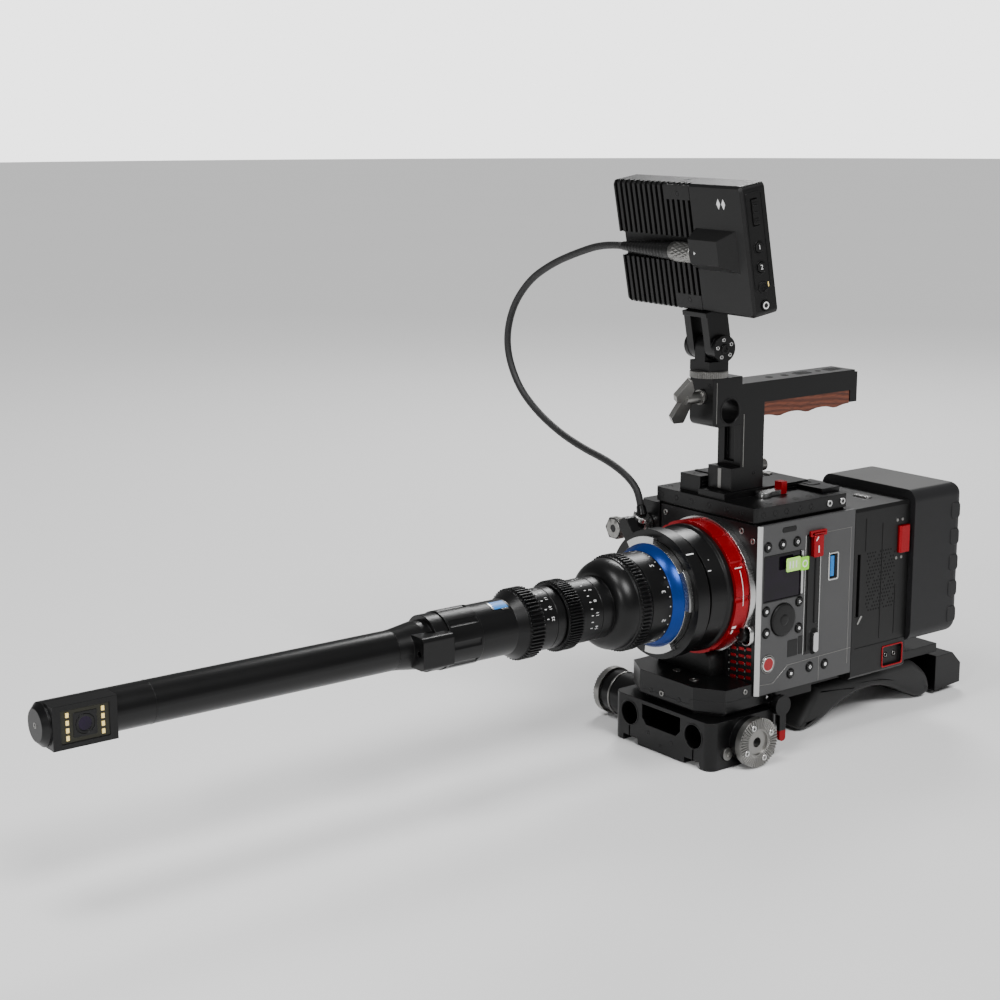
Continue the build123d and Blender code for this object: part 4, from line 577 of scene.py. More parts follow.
battery_case = finish(
    "battery_case", Coat(rgb(0.007, 0.007, 0.0075), rgb(0.013, 0.013, 0.014), 0.52, 0.0),
    regions=[(lambda s: s.z.above(156.2, 0.2), Coat(rgb(0.06, 0.06, 0.06), rgb(0.09, 0.09, 0.088), 0.6))],
    grain=4.0, bump=0.30)
pan_metal = finish(
    "pan_metal", BLACK, regions=[(lambda s: s.z.between(239.0, 243.8, 0.05), Coat(rgb(0.10, 0.098, 0.092),
                                                                               rgb(0.2, 0.195,
                                                                                   0.185), 0.35, 0.9))])

NODE_FINISH = {
    "base_plate": black_metal, "rosettes": dull_steel, "rod_clamp_screw": dull_steel,
    "plate_receiver": black_satin, "camera_plate": black_satin, "plate_lock_lever": lever_metal,
    "front_plate": front_paint, "body_shell": black_metal, "side_panel": grey_panel,
    "side_screen": screen_glass, "record_key": record_cap, "jog_dial": rubber,
    "card_door": black_satin, "card_door_latch": steel, "image_sensor": board, "top_plate": black_metal,
    "top_plate_lever": top_lever_metal, "back_module": black_plastic, "battery_release": red_metal,
    "battery": battery_case, "shoulder_pad": pad_rubber, "pad_bracket": black_metal,
    "camera_mount": mount_metal, "lock_ring": red_metal, "mount_adapter": black_satin,
    "breech_ring": black_metal, "lens_barrel": barrel_metal, "focus_ring": black_metal,
    "iris_ring": black_metal, "module_nut": black_metal, "lens_elements": lens_glass,
    "probe_tube": black_satin, "probe_head": black_metal, "probe_window": lens_glass,
    "probe_lights": lamp, "handle": black_metal, "wood_grip": wood, "wing_lever": dull_steel,
    "thumb_screw": dull_steel, "pan_base": pan_metal, "tilt_neck": black_metal,
    "monitor_case": black_plastic, "monitor_screen": screen_glass, "monitor_key_one": rubber,
    "monitor_key_two": rubber, "monitor_power_key": rubber, "monitor_rocker": rubber,
    "video_plug": rubber, "camera_plug": black_satin, "video_cable": jacket,
}
for node_name, piece in nodes.items():
    chosen = NODE_FINISH.get(node_name, rubber if "_key_" in node_name else black_metal)
    piece.data.materials.clear()
    piece.data.materials.append(chosen)


# ================================================================ monitor cable
CABLE_DIAMETER = 0.0048
ROUTE = (
    (-0.066812, -0.008273, 0.317346), (-0.087742, -0.006552, 0.317346), (-0.1175, -0.0068, 0.3092),
    (-0.1430, -0.0062, 0.3005), (-0.1685, -0.0056, 0.2875), (-0.1885, -0.0051, 0.2665),
    (-0.1960, -0.0044, 0.2400), (-0.1845, -0.0037, 0.2145), (-0.1640, -0.0032, 0.1982),
    (-0.1390, -0.0026, 0.1862), (-0.1140, -0.0021, 0.1786), (-0.0885, -0.0016, 0.1736),
    (-0.0710, -0.0012, 0.1672), (-0.0612, -0.0010, 0.1606), (-0.057383, -0.0010, 0.154755),
    (-0.0556, -0.0010, 0.1484),
)


def nurbs_line(name, points):
    """Smooth NURBS curve through the route's control points."""
    curve = bpy.data.curves.new(name, "CURVE")
    curve.dimensions = "3D"
    curve.resolution_u = 12
    spline = curve.splines.new("NURBS")
    spline.points.add(len(points) - 1)
    for point, where in zip(spline.points, points):
        point.co = (*where, 1.0)
    spline.order_u = 3
    spline.use_endpoint_u = True
    line = bpy.data.objects.new(name, curve)
    bpy.context.scene.collection.objects.link(line)
    return line


def line_points(line):
    """Points of the evaluated curve, in metres."""
    mesh = bpy.data.meshes.new_from_object(line)
    flat = np.zeros(len(mesh.vertices) * 3)
    mesh.vertices.foreach_get("co", flat)
    bpy.data.meshes.remove(mesh)
    return flat.reshape(-1, 3)


def carry(points, radii, count=16):
    """Tube of the given radii carried along points by parallel transport: the section keeps its turn.
    Returns one ring of points round each point of the path."""
    forward = np.gradient(points, axis=0)
    forward /= np.linalg.norm(forward, axis=1, keepdims=True)
    side = np.cross(forward[0], (0, 1, 0.1))
    side /= np.linalg.norm(side)
    angle = np.arange(count) * TAU / count
    rings = []
    for where, ahead, radius in zip(points, forward, radii):
        side = side - ahead * (side @ ahead)
        side /= np.linalg.norm(side)
        other = np.cross(ahead, side)
        rings.append(where + radius * (np.outer(np.cos(angle), side) + np.outer(np.sin(angle), other)))
    return rings


def cable_mesh(name, points, radii, material, body, count=16):
    """Closed tube object with a UV map: u along it in shares of its length, v round it."""
    rings = carry(points, radii, count)
    verts = np.concatenate([*rings, [points[0]], [points[-1]]])
    here = np.arange(count)
    after = (here + 1) % count
    faces = []
    for level in range(len(rings) - 1):
        low, high = level * count, (level + 1) * count
        faces += np.column_stack([low + here, low + after, high + after, high + here]).tolist()
    last = (len(rings) - 1) * count
    faces += np.column_stack([after, here, np.full(count, len(verts) - 2)]).tolist()
    faces += np.column_stack([last + here, last + after, np.full(count, len(verts) - 1)]).tolist()
    mesh = bpy.data.meshes.new(name)
    mesh.from_pydata(verts.tolist(), [], faces)
    mesh.polygons.foreach_set("use_smooth", [True] * len(mesh.polygons))
    layer = mesh.uv_layers.new(name="cable")
    quads = (len(rings) - 1) * count
    level = np.repeat(np.arange(len(rings) - 1), count)
    turn = np.tile(here, len(rings) - 1)
    share = 1.0 / (len(rings) - 1)
    quad_uv = np.stack([np.stack([level * share, turn / count], 1),
                        np.stack([level * share, (turn + 1) / count], 1),
                        np.stack([(level + 1) * share, (turn + 1) / count], 1),
                        np.stack([(level + 1) * share, turn / count], 1)], 1).reshape(-1, 2)
    uv = np.zeros((len(mesh.loops), 2))
    uv[:quads * 4] = quad_uv
    layer.data.foreach_set("uv", uv.ravel())
    mesh.materials.append(material)
    mesh.update()
    piece = bpy.data.objects.new(name, mesh)
    bpy.context.scene.collection.objects.link(piece)
    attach(piece, body)
    return piece


def knurled(radius, depth, ridges, phase, count):
    """Circle raised where either of two crossing helices passes."""
    angle = np.arange(count) * TAU / count
    first = np.abs(((ridges * (angle + phase) / TAU) % 1) * 2 - 1)
    second = np.abs(((ridges * (angle - phase) / TAU) % 1) * 2 - 1)
    reach = radius - depth + depth * np.maximum(first, second)
    return np.stack([reach * np.cos(angle), reach * np.sin(angle)], 1)


def knurled_plug(place, radius, length, depth=0.75, ridges=15):
    """Barrel whose middle is diamond knurled between two plain rims."""
    count = ridges * 8
    levels = [(circle(radius - 0.8, count), 0), (circle(radius - 0.2, count), 0.6),
              (circle(radius - 0.2, count), 2.0)]
    steps = 40
    for step in range(steps + 1):
        share = step / steps
        levels.append((knurled(radius, depth, ridges, share * 0.95, count), 2.2 + share * (length - 6.2)))
    levels += [(circle(radius - 0.3, count), length - 3.8), (circle(radius - 0.3, count), length - 0.6),
               (circle(radius - 0.9, count), length)]
    return stack(levels, place)


PLUG_PLACE = on_monitor(Place((8.5, -8.2, 61.2), (0, 0, 1), (0, 1, 0), (-1, 0, 0)))


def cable():
    """Cable, and the plug at the monitor with its boot."""
    line = nurbs_line("cable_line", ROUTE)
    path = line_points(line)
    bpy.data.objects.remove(line)
    tube = cable_mesh("video_cable_jacket", path, np.full(len(path), CABLE_DIAMETER / 2), jacket, "rig")
    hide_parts("video_cable")
    shell = build("video_plug_shell", [knurled_plug(PLUG_PLACE.at(0, 0, 0.2), 6.2, 21.6)], dull_steel,
                  "monitor", sharp=60)
    levels = []
    for step in range(61):
        share = step / 60
        radius = 5.4 - share * 2.55 + (0.28 * math.cos(step * TAU / 4) if 6 < step < 56 else 0)
        levels.append((circle(radius, 32), 21.6 + 52.2 * share))
    boot = build("video_plug_boot", [stack(levels, PLUG_PLACE)], rubber, "monitor", sharp=60)
    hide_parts("video_plug")
    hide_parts("video_plug")


cable()

# ================================================================ shoulder pad
PAD_HALF = 27.0
PAD_OUTLINE = (
    (74.5, 0.0), (80.0, 0.9), (90.0, 3.6), (99.0, 7.6), (108.0, 11.5), (118.0, 14.8), (127.0, 16.5),
    (139.0, 16.9), (150.0, 15.5), (162.0, 11.7), (173.0, 6.8), (182.0, 2.2), (190.5, 0.0), (197.0, 2.0),
    (199.0, 6.5), (196.5, 14.5), (192.0, 20.0), (187.0, 24.0), (181.0, 28.0), (175.0, 29.7), (160.0, 29.7),
    (140.0, 29.7), (120.0, 29.7), (100.0, 29.7), (86.0, 29.6), (82.4, 27.6), (78.0, 20.8), (72.5, 12.6),
    (67.6, 5.2), (68.6, 1.4),
)


def smooth_loop(points, per=6):
    """Closed Catmull-Rom curve through the points."""
    points = np.array(points, float)
    before, after, later = np.roll(points, 1, 0), np.roll(points, -1, 0), np.roll(points, -2, 0)
    share = (np.arange(per) / per)[None, :, None]
    p0, p1, p2, p3 = (side[:, None, :] for side in (before, points, after, later))
    curve = 0.5 * (2 * p1 + (p2 - p0) * share + (2 * p0 - 5 * p1 + 4 * p2 - p3) * share ** 2
                   + (3 * p1 - p0 - 3 * p2 + p3) * share ** 3)
    return curve.reshape(-1, 2)


def pad_surface():
    """Foam pad: the side outline carried across the width, drawn in by a quarter round near each side
    and crowned by a millimetre between them."""
    outline = smooth_loop(PAD_OUTLINE, 5)
    ahead = np.roll(outline, -1, 0) - np.roll(outline, 1, 0)
    ahead /= np.linalg.norm(ahead, axis=1, keepdims=True)
    inward = np.column_stack([-ahead[:, 1], ahead[:, 0]])
    fillet = 5.0
    turns = np.linspace(0, math.pi / 2, 7)
    sections = [(-PAD_HALF + fillet - fillet * math.sin(t),
                 fillet - fillet * math.cos(t)) for t in turns[::-1]]
    flat = [(x, 0.0) for x in np.linspace(-PAD_HALF + fillet, PAD_HALF - fillet, 14)[1:-1]]
    other = [(-x, inset) for x, inset in sections[::-1]]
    rings = []
    for x, inset in [*sections, *flat, *other]:
        crown = 0.5 * (x / PAD_HALF) ** 2
        pulled = outline + inward * (inset + crown)
        pulled[:, 1] = np.maximum(pulled[:, 1], 0.02)
        rings.append((pulled, x))
    place = Place((0, 0, 0), (0, 1, 0), (0, 0, 1), (1, 0, 0))
    return stack(rings, place, flat_ends=True)


pad = build("shoulder_pad_foam", [pad_surface()], pad_rubber, "rig", sharp=80)
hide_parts("shoulder_pad")


# ================================================================ lens rings
def geared(stations, teeth, count_per_tooth=8):
    """Ring of revolution from (y, radius, tooth depth) stations, its toothed parts cut all round."""
    count = teeth * count_per_tooth
    levels = []
    for y, radius, depth in stations:
        outline = toothed(radius, depth, teeth, count) if depth else circle(radius, count)
        levels.append((outline, -y))
    return stack(levels, LENS_AXIS, loop=True)


def focus_ring_piece():
    """Ring of revolution: a wide gear, a quarter-ellipse flare down to the sleeve, a small gear."""
    bore = 17.5
    stations = [(-64.9, bore, 0), (-64.9, 28.7, 0), (-65.2, 29.0, 0), (-66.4, 29.0, 0), (-66.6, 30.3, 1.3),
                (-73.0, 30.3, 1.3), (-73.3, 29.0, 0), (-75.0, 29.0, 0), (-75.4, 28.4, 0), (-75.9, 28.4, 0)]
    for step in range(0, 13):
        turn = math.pi / 2 * step / 12
        stations.append((-75.9 - 11.5 * math.sin(turn), 19.5 + 8.9 * math.cos(turn), 0))
    stations += [(-96.0, 19.5, 0), (-96.1, 19.2, 0), (-96.5, 19.2, 0), (-96.6, 19.5, 0), (-111.0, 19.5, 0),
                 (-111.4, 19.9, 0), (-112.4, 19.9, 0), (-112.6, 21.6, 1.5), (-122.2, 21.6, 1.5), (-122.4,
                                                                                                  20.2, 0),
                 (-123.4, 20.2, 0), (-123.4, bore, 0)]
    piece = build("focus_ring_geared", [geared(stations, 72)], black_metal, "focus_ring", sharp=30)
    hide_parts("focus_ring")


def iris_ring_piece():
    """Ring of revolution: a plain band for the scale, then a gear."""
    bore = 17.5
    stations = [(-123.7, bore, 0), (-123.7, 18.5, 0), (-124.0, 18.8, 0), (-130.0, 18.8, 0),
                (-130.1, 18.5, 0),
                (-130.5, 18.5, 0), (-130.6, 18.8, 0), (-140.4, 18.8, 0), (-140.8, 20.2, 0), (-141.6, 20.2,
                                                                                             0),
                (-141.8, 21.6, 1.5), (-151.2, 21.6, 1.5), (-151.4, 20.2, 0), (-152.1, 20.2, 0), (-152.1,
                                                                                                 bore, 0)]
    piece = build("iris_ring_geared", [geared(stations, 54)], black_metal, "iris_ring", sharp=30)
    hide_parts("iris_ring")


focus_ring_piece()
iris_ring_piece()


def lens_marks():
    """Scales, index lines and coloured rings of the lens, on the pieces that carry them."""
    ring = [(circle(32.9, 96), 42.7), (circle(32.4, 96), 44.4), (circle(29.4, 96), 48.9),
            (circle(29.0, 96), 49.2), (circle(28.9, 96), 42.7)]
    build("blue_bayonet_ring", [stack(ring, LENS_AXIS, loop=True)], blue_metal, "rig", sharp=30)
    scale = [band(-50.6, -51.2, angle, angle + 1.2, 29.0) for angle in range(-60, 121, 12)]
    scale += [ring_mark(text, 4.2, angle, -55.4, 29.0) for text, angle in
              (("8", -52), ("5", -16), ("3", 20), ("2", 56), ("1", 92))]
    build("barrel_scale", scale, white_mark, "rig", sharp=30)
    marks = [ring_mark(text, 3.0, angle, -101.0, 19.5) for text, angle in
             (("14", -20), ("11", 6), ("8", 30), ("5", 52), ("3", 72), ("2", 92), ("1", 112))]
    marks += [band(-104.0, -105.4, angle, angle + 1.4, 19.5) for angle in range(-20, 121, 12)]
    build("focus_scale", marks, white_mark, "focus_ring", sharp=30)
    marks = [ring_mark(text, 2.8, angle, -134.0, 18.8) for text, angle in
             (("22", 14), ("16", 34), ("11", 54), ("8", 72), ("5", 88), ("4", 104))]
    marks += [band(-137.0, -138.4, angle, angle + 1.6, 18.8) for angle in range(14, 110, 18)]
    build("iris_scale", marks, white_mark, "iris_ring", sharp=30)
    label = [band(-160.2, -170.0, 58, 82, 16.75)]
    build("collar_label", label, blue_tongue, "rig", sharp=30)
    build("collar_label_edge", [band(-170.1, -171.2, 58, 82, 16.78), band(-160.3, -165.0, 54, 57.4, 16.78)],
          steel, "rig",
          sharp=30)
    build("breech_marks", [band(-31.5, -37.5, 47, 48.2, 41.0)], white_mark, "breech_ring", sharp=30)
    marks = [ring_mark("1", 5.6, 30, -22.6, 38.3), band(-19.0, -19.5, 40, 62, 38.4),
             band(-18.0, -20.6, 40, 40.7, 38.4)]
    build("adapter_marks", marks, white_mark, "rig", sharp=30)
    marks = [band(-0.4, -6.4, 26, 26.8, 42.8), band(-2.6, -3.0, -6, 24, 42.8),
             band(-4.6, -7.9, -27, -24.5, 42.8),
             band(-5.6, -6.8, -33, -29.0, 42.8)]
    build("lock_ring_marks", marks, white_mark, "lock_ring", sharp=30)


lens_marks()


# ================================================================ operator's side
def side_details():
    """Key rims and marks, door ribs, seams, data port, tags and dial on the operator's side."""
    face = right_face()
    keys = {"menu_key_1": (14.2, 137.2), "menu_key_2": (27.0, 137.3), "menu_key_3": (39.9, 137.3),
            "dial_key_1": (14.0, 96.0), "dial_key_2": (14.5, 81.9), "dial_key_3": (43.2, 98.0),
            "dial_key_4": (43.4, 80.6), "function_key_1": (37.2, 51.6), "function_key_2": (54.5, 52.7),
            "function_key_3": (68.5, 52.1)}
    rims = [frame_ring(face.at(*where), circle(3.5, 32), circle(3.02, 32), 0.35) for where in keys.values()]
    record_rim = frame_ring(face.at(16.6, 61.5), circle(6.0, 48), circle(5.3, 48), 0.6)
    build("key_rims", rims, black_satin, "rig")
    build("record_rim", [record_rim], dull_steel, "rig")
    for number, (name, where) in enumerate(keys.items()):
        top = face.at(*where, 0.9)
        sides = (3, 4, 4, 5, 6, 3, 4, 4, 4, 6)[number]
        mark = polygon(1.25, sides, 24)
        shape = stack([(mark, -0.05), (mark, 0.08)], top.turned(0.3 * number))
        if number % 3 == 2:
            shape = frame_ring(top, polygon(1.35, sides, 24), polygon(0.8, sides, 24), 0.12, lip=0.03)
        build(f"{name}_mark", [shape], white_mark, name)
    build("screen_bezel", [frame_ring(face.at(27.9, 116.5), rounded(33.4, 30.2, 0.8),
                                      rounded(31.8, 28.6, 0.4), 0.25)],
          black_plastic, "rig")
    build("screen_trim", [plate(face.at(45.3, 116.8), 1.9, 28.0, 0.35, 0.3)], steel, "rig")
    lines = [plate(face.at(48.0, 101.0), 0.5, 78.0, 0.25, 0.2, 0.08),
             plate(face.at(61.8, 101.0), 0.55, 78.0, 0.25, 0.2, 0.08)]
    build("door_edge_lines", lines, steel, "rig")
    build("card_door_rib", [plate(right_face().at(58.4, 110.0), 3.0, 58.0, 0.8, 0.9, 0.5),
                            plate(right_face().at(50.6, 100.0), 0.5, 74.0, 0.5, 0.2,
                                  0.1)], black_satin, "card_door")
    bezel = frame_ring(face.at(73.75, 116.3), rounded(9.4, 18.4, 1.4), rounded(7.3, 16.2, 0.6), 0.45)
    build("data_port_frame", [bezel], steel, "rig")
    # the port's floor is a near-black sheet of painted shade
    build("data_port_floor", [plate(right_face(SIDE_X - 2.0).at(73.75, 116.2), 7.2, 16.0, 0.1, 0.4, 0.03)],
          hole_shade, "rig")
    build("data_port_tongue", [plate(right_face(SIDE_X - 2.0).at(73.3, 116.2), 3.4, 13.4, 1.7, 0.5)],
          blue_tongue, "rig")
    seam = [(10.5, 48.6), (21.7, 47.9), (34.7, 57.6), (60.3, 58.2), (92.5, 58.6)]
    groove = []
    for (y0, z0), (y1, z1) in zip(seam, seam[1:]):
        run, turn = math.hypot(y1 - y0, z1 - z0), math.atan2(z1 - z0, y1 - y0)
        middle = face.at((y0 + y1) / 2, (z0 + z1) / 2).turned(turn)
        groove.append(plate(middle, run + 0.3, 0.42, 0.12, 0.1, 0.05))
    groove += [plate(face.at(63.0, 50.0), 0.4, 16.0, 0.12, 0.1, 0.05),
               plate(face.at(77.0, 139.6), 27.0, 0.35, 0.1, 0.1, 0.05),
               plate(face.at(89.6, 94.0), 0.35, 91.0, 0.1, 0.1, 0.05)]
    build("panel_seams", groove, dull_steel, "rig")
    build("panel_notch", [plate(face.at(38.5, 68.2), 9.0, 11.0, 0.15, 0.6, 0.05),
                          plate(face.at(46.0, 69.0), 4.6, 12.0, 0.15, 0.6, 0.05)], black_satin, "rig")
    build("card_slot_cover", [plate(face.at(33.0, 146.2), 12.5, 3.4, 0.3, 1.4)], black_plastic, "rig")
    build("tag_green", [plate(face.at(44.4, 123.0, 2.7), 7.4, 8.6, 0.5, 1.0)], green_card, "rig")
    build("tag_pale", [plate(face.at(34.4, 124.0, 2.7), 12.4, 8.8, 0.5, 1.0)], pale_card, "rig")
    bars = [plate(face.at(34.4 + shift, 124.0, 3.2), 1.1, 4.6, 0.1, 0.2, 0.04) for shift in (-3.4, -0.6,
                                                                                             2.2)]
    bars.append(frame_ring(face.at(44.4, 123.0, 3.2), circle(2.4, 24), circle(1.6, 24), 0.1, 0.03, 0.04))
    build("tag_bars", bars, white_mark, "rig")
    ribbon = stack([(rounded(8.4, 14.0, 1.0), -2.5), (rounded(8.8, 14.4, 1.2), 0.4),
                    (rounded(8.2, 13.8, 1.0), 0.7)],
                   face.at(57.2, 132.4, 2.2))
    tab = plate(face.at(57.6, 140.6, 2.2), 14.5, 3.8, 0.7, 0.8, 2.4)
    build("tag_red", [ribbon, tab], red_metal, "rig")
    build("tag_marks", [plate(face.at(57.0, 130.4, 2.95), 0.8, 4.6, 0.12, 0.2, 0.04),
                        plate(face.at(55.4, 137.2, 2.95).turned(0.9), 3.2, 0.7, 0.12, 0.2, 0.04)],
          white_mark, "rig")
    dial = right_face(SIDE_X + 1.6).at(28.9, 88.5)
    ridges = stack([(toothed(10.4, 0.5, 40, 320), -0.6), (toothed(10.4, 0.5, 40, 320), -0.3),
                    (circle(9.6, 320), 0.05),
                    (circle(9.0, 320), 0.12), (circle(3.6, 320), 0.05), (circle(3.2, 320),
                                                                         0.35), (circle(2.4, 320), 0.45)],
                   dial)
    build("jog_dial_cap", [ridges], rubber, "jog_dial")
    # painted shade: a near-black patch stands for the latch recess
    build("door_latch_recess", [plate(right_face(SIDE_X - 0.05).at(57.4, 69.4), 5.6, 17.5, 0.12, 2.6,
                                      0.05)], hole_shade, "card_door")


side_details()


# ================================================================ front, top and back
def vent_grid():
    """Red air slots in two slanting columns with a steel stud between each."""
    slots, studs = [], []
    face = front_face(FRONT_Y + 1.5)
    for x, drop in ((24.0, 0.0), (31.2, 0.9), (38.0, 1.8)):
        for row in range(6):
            z = 73.6 - row * 4.7 + drop
            slots.append(plate(face.at(x, z).turned(0.06), 5.0, 2.1, 0.5, 0.9))
            studs.append(plate(face.at(x - 3.4, z - 1.2), 0.8, 1.5, 0.9, 0.3))
    build("vent_slots", slots, red_metal, "rig")
    build("vent_studs", studs, dull_steel, "rig")
    # painted shade: a near-black sheet behind the slots stands for the shade in the vent recess
    build("vent_floor", [plate(face.at(30.5, 63.5), 20.8, 30.8, 0.12, 0.6, 0.05)], hole_shade, "rig")


def front_details():
    """Vents, screws, knob and hoop on the front, and the bulge under the mount: rounded outlines
    that shrink with the square of the height while the height follows a sine."""
    vent_grid()
    face = front_face()
    screws = [socket_screw(face.at(x, z), 2.0, 0.5) for x, z in
              ((30.0, 146.0), (-40.0, 146.0), (-40.0, 48.0), (40.0, 141.0), (-12.0, 147.0), (8.0, 46.5))]
    build("front_screws", screws, dull_steel, "rig")
    knob = stack([(circle(4.6), 0), (circle(4.6), 5.2), (circle(4.1), 5.8), (circle(3.0), 6.0),
                  (circle(2.6), 5.2)],
                 face.at(36.5, 80.5))
    build("front_knob", [knob], black_satin, "rig")
    build("front_knob_hoop", [frame_ring(face.at(38.6, 80.5), rounded(9.6, 13.6, 4.6),
                                         rounded(7.0, 11.0, 3.4), 3.2, 0.5)],
          steel, "rig")
    bulge = []
    for step in range(9):
        share = step / 8
        bulge.append((rounded(54 * (1 - 0.10 * share ** 2), 27 * (1 - 0.2 * share ** 2), 12.0),
                      11.5 * math.sin(share * math.pi / 2)))
    build("mount_housing", [stack(bulge, face.at(-9.0, 55.5))], black_plastic, "rig")
    build("mount_housing_ring", [frame_ring(face.at(-28.0, 60.0, 6.0), circle(7.4), circle(5.8), 4.6, 0.4)],
          black_metal, "rig")


def top_details():
    """Screws, threaded holes, ribs, slots and the shoe catch of the top plate."""
    right = right_face(42.0)
    screws = [socket_screw(right.at(y, 156.8), 2.3, 0.8) for y in (72.5, 84.5)]
    build("top_plate_screws", screws, steel, "rig")
    holes = [stud_hole(right.at(y, 156.8), 1.5) for y in (14.0, 24.0, 34.0, 46.0, 56.0)]
    holes += [stud_hole(front_face(7.0).at(x, 157.0), 1.4) for x in (-44, -30, -16, 0, 16, 30)]
    top = top_face(TOP_Z)
    holes += [stud_hole(top.at(x, y), 2.0) for x in (-44.0, 34.0) for y in (14.0, 26.0, 50.0, 62.0)]
    holes += [stud_hole(top_face(173.0).at(-22.7, y), 2.6) for y in (18.0, 30.0)]
    build("threaded_holes", holes, black_satin, "rig")
    pads = [plate(top_face(173.0).at(-22.7, 24.0), 15.0, 4.2, 0.8, 1.8),
            plate(top_face(164.5).at(2.0, 82.0), 40.0, 9.0, 0.5, 2.0)]
    pads += [plate(right_face(-13.5).at(24.0, z), 20.0, 1.0, 0.4, 0.3) for z in (164.5, 167.0, 169.5)]
    pads += [plate(right_face(12.0).at(64.0, z), 34.0, 0.7, 0.3, 0.2) for z in (162.8, 164.4)]
    build("top_ribs", pads, black_satin, "rig")
    # painted shade: the slots are near-black plates, not cuts
    slots = [plate(top_face(164.5).at(x, 82.0), 9.0, 3.6, 0.62, 1.8) for x in (-8.0, 12.0)]
    build("top_slots", slots, hole_shade, "rig")
    build("shoe_catch", [plate(top_face(164.5).at(-22.0, 80.0), 9.0, 5.0, 1.6, 2.2, 0.5)], dull_steel,
          "rig")


def back_details():
    """Slot, sound holes in staggered rows, ribs, socket and catch of the module; grips of the battery."""
    face = right_face()
    # painted shade: a near-black sheet at the bottom of the slot
    slot = [plate(face.at(98.0, 99.0, -2.5), 2.6, 41.0, 0.15, 0.8, 0.05)]
    build("module_slot_floor", slot, hole_shade, "rig")
    build("module_slot_foot", [plate(face.at(100.4, 75.6).turned(0.9), 6.6, 1.4, 0.35, 0.4)], dull_steel,
          "rig")
    # painted shade: the sound holes are flat near-black hexagons, no holes are cut
    holes = []
    for row in range(17):
        for column in range(11):
            if (row * 7 + column * 5) % 6:
                place = face.at(106.0 + column * 2.5 + (row % 2) * 1.2, 81.0 + row * 2.4)
                holes.append(stack([(polygon(0.72, 6, 6), -0.05), (polygon(0.72, 6, 6), 0.07)], place))
    build("speaker_holes", holes, hole_shade, "rig")
    ribs = [plate(face.at(y, z), w, h, 0.3, 0.6) for y, z, w, h in
            ((120.0, 99.0, 0.6, 78.0), (104.0, 132.0, 0.5, 22.0), (121.0, 56.5, 48.0, 0.5),
             (134.0, 78.0, 0.6, 34.0))]
    build("module_ribs", ribs, black_satin, "rig")
    low = frame_ring(face.at(133.5, 46.25), rounded(20.4, 14.8, 1.6), rounded(18.6, 13.0, 1.2), 0.6)
    build("socket_frame", [low], red_metal, "rig")
    pins = [frame_ring(right_face(SIDE_X - 2.0).at(133.5 + d, 46.25), circle(1.5, 24), circle(1.0, 24),
                       0.3) for d in (-4, 4)]
    build("socket_rings", pins, dull_steel, "rig")
    dots = [stud_hole(face.at(y, z), 0.8, 0.3) for y in (134.0, 139.0) for z in (138.0, 112.5)]
    build("release_dots", dots, dull_steel, "rig")
    build("module_top_catch", [plate(top_face(150.0).at(20.0, 128.0), 14.0, 5.0, 1.2, 1.6, 0.5)], steel,
          "rig")
    grip = [plate(right_face(50.0).at(187.5, z), 9.0, 11.5, 0.45, 3.0, 0.4) for z in (66.0, 84.0, 102.0,
                                                                                      120.0, 138.0)]
    build("battery_grips", grip, battery_case, "battery")


front_details()
top_details()
back_details()


# ================================================================ base plate and rosettes
def rosette_teeth(x, outward):
    """Radial teeth: the disc face rises and falls with the angle between two radii."""
    count = 48 * 8
    angle = np.arange(count) * TAU / count
    wave = 0.5 + 0.5 * np.clip(np.cos(48 * angle) * 1.5, -1, 1)
    face = right_face(x) if outward > 0 else left_face(x)
    place = face.at(0.0, 16.0)
    verts, faces = [], []
    for radius, lift in ((15.7, -0.2), (15.7, 0.9), (9.2, 0.9), (8.8, 0.12), (8.6, -0.2)):
        height = lift * wave + 0.1 if lift > 0.3 else np.full(count, lift)
        verts.append(np.column_stack([radius * np.cos(angle), radius * np.sin(angle), height]))
    here, after = np.arange(count), (np.arange(count) + 1) % count
    for level in range(5):
        low, high = level * count, (level + 1) % 5 * count
        faces += np.column_stack([low + here, low + after, high + after, high + here]).tolist()
    return place.points(np.concatenate(verts)), faces


def base_details():
    """Rosette teeth and screws, bore rims, small holes and screws of the base plate."""
    teeth = [rosette_teeth(56.3, 1), rosette_teeth(-84.0, -1)]
    build("rosette_teeth", teeth, dull_steel, "rig", sharp=25)
    screws = []
    for face in (right_face(56.3), left_face(-84.0)):
        for number in range(4):
            angle = math.radians(25 + number * 90)
            where = face.at(11.4 * math.cos(angle), 16.0 + 11.4 * math.sin(angle))
            screws.append(socket_screw(where, 2.0, 1.15))
    build("rosette_screws", screws, steel, "rig")
    face = front_face(-31.0)
    rims = [frame_ring(face.at(x, 19.5), circle(8.5), circle(7.6), 0.3) for x in (-30, 30)]
    build("rod_bore_rims", rims, black_satin, "rig")
    holes = [stud_hole(face.at(x, z), 1.0) for x, z in ((-12.0, 10.5), (10.0, 9.5), (0.0, 4.4))]
    holes += [stud_hole(front_face(-27.0).at(x, 38.0), 1.3) for x in (-14.0, 12.0)]
    build("base_holes", holes, black_satin, "rig")
    build("plate_screws", [socket_screw(front_face(-27.0).at(-4.0, 38.2), 2.0, 0.5),
                           socket_screw(right_face(43.0).at(0.6, 45.6), 1.8, 0.5),
                           socket_screw(top_face(49.5).at(-8.0, -10.0), 3.0, 0.5),
                           socket_screw(top_face(49.5).at(14.0, -16.0), 3.0,
                                        0.5)], dull_steel, "rig")
    arrow = stack([(polygon(1.3, 3, 24), -0.05), (polygon(1.3, 3, 24), 0.08)],
                  right_face(43.0).at(20.0, 38.6))
    build("lock_mark", [arrow], white_mark, "rig")
    build("arm_band", [stack([(circle(14.9, 64), 0), (circle(15.1, 64), 0.3), (circle(15.1, 64), 1.1),
                              (circle(14.9, 64), 1.4)],
                             left_face(-70.0).at(0.0, 16.0))], dull_steel, "rig")


base_details()


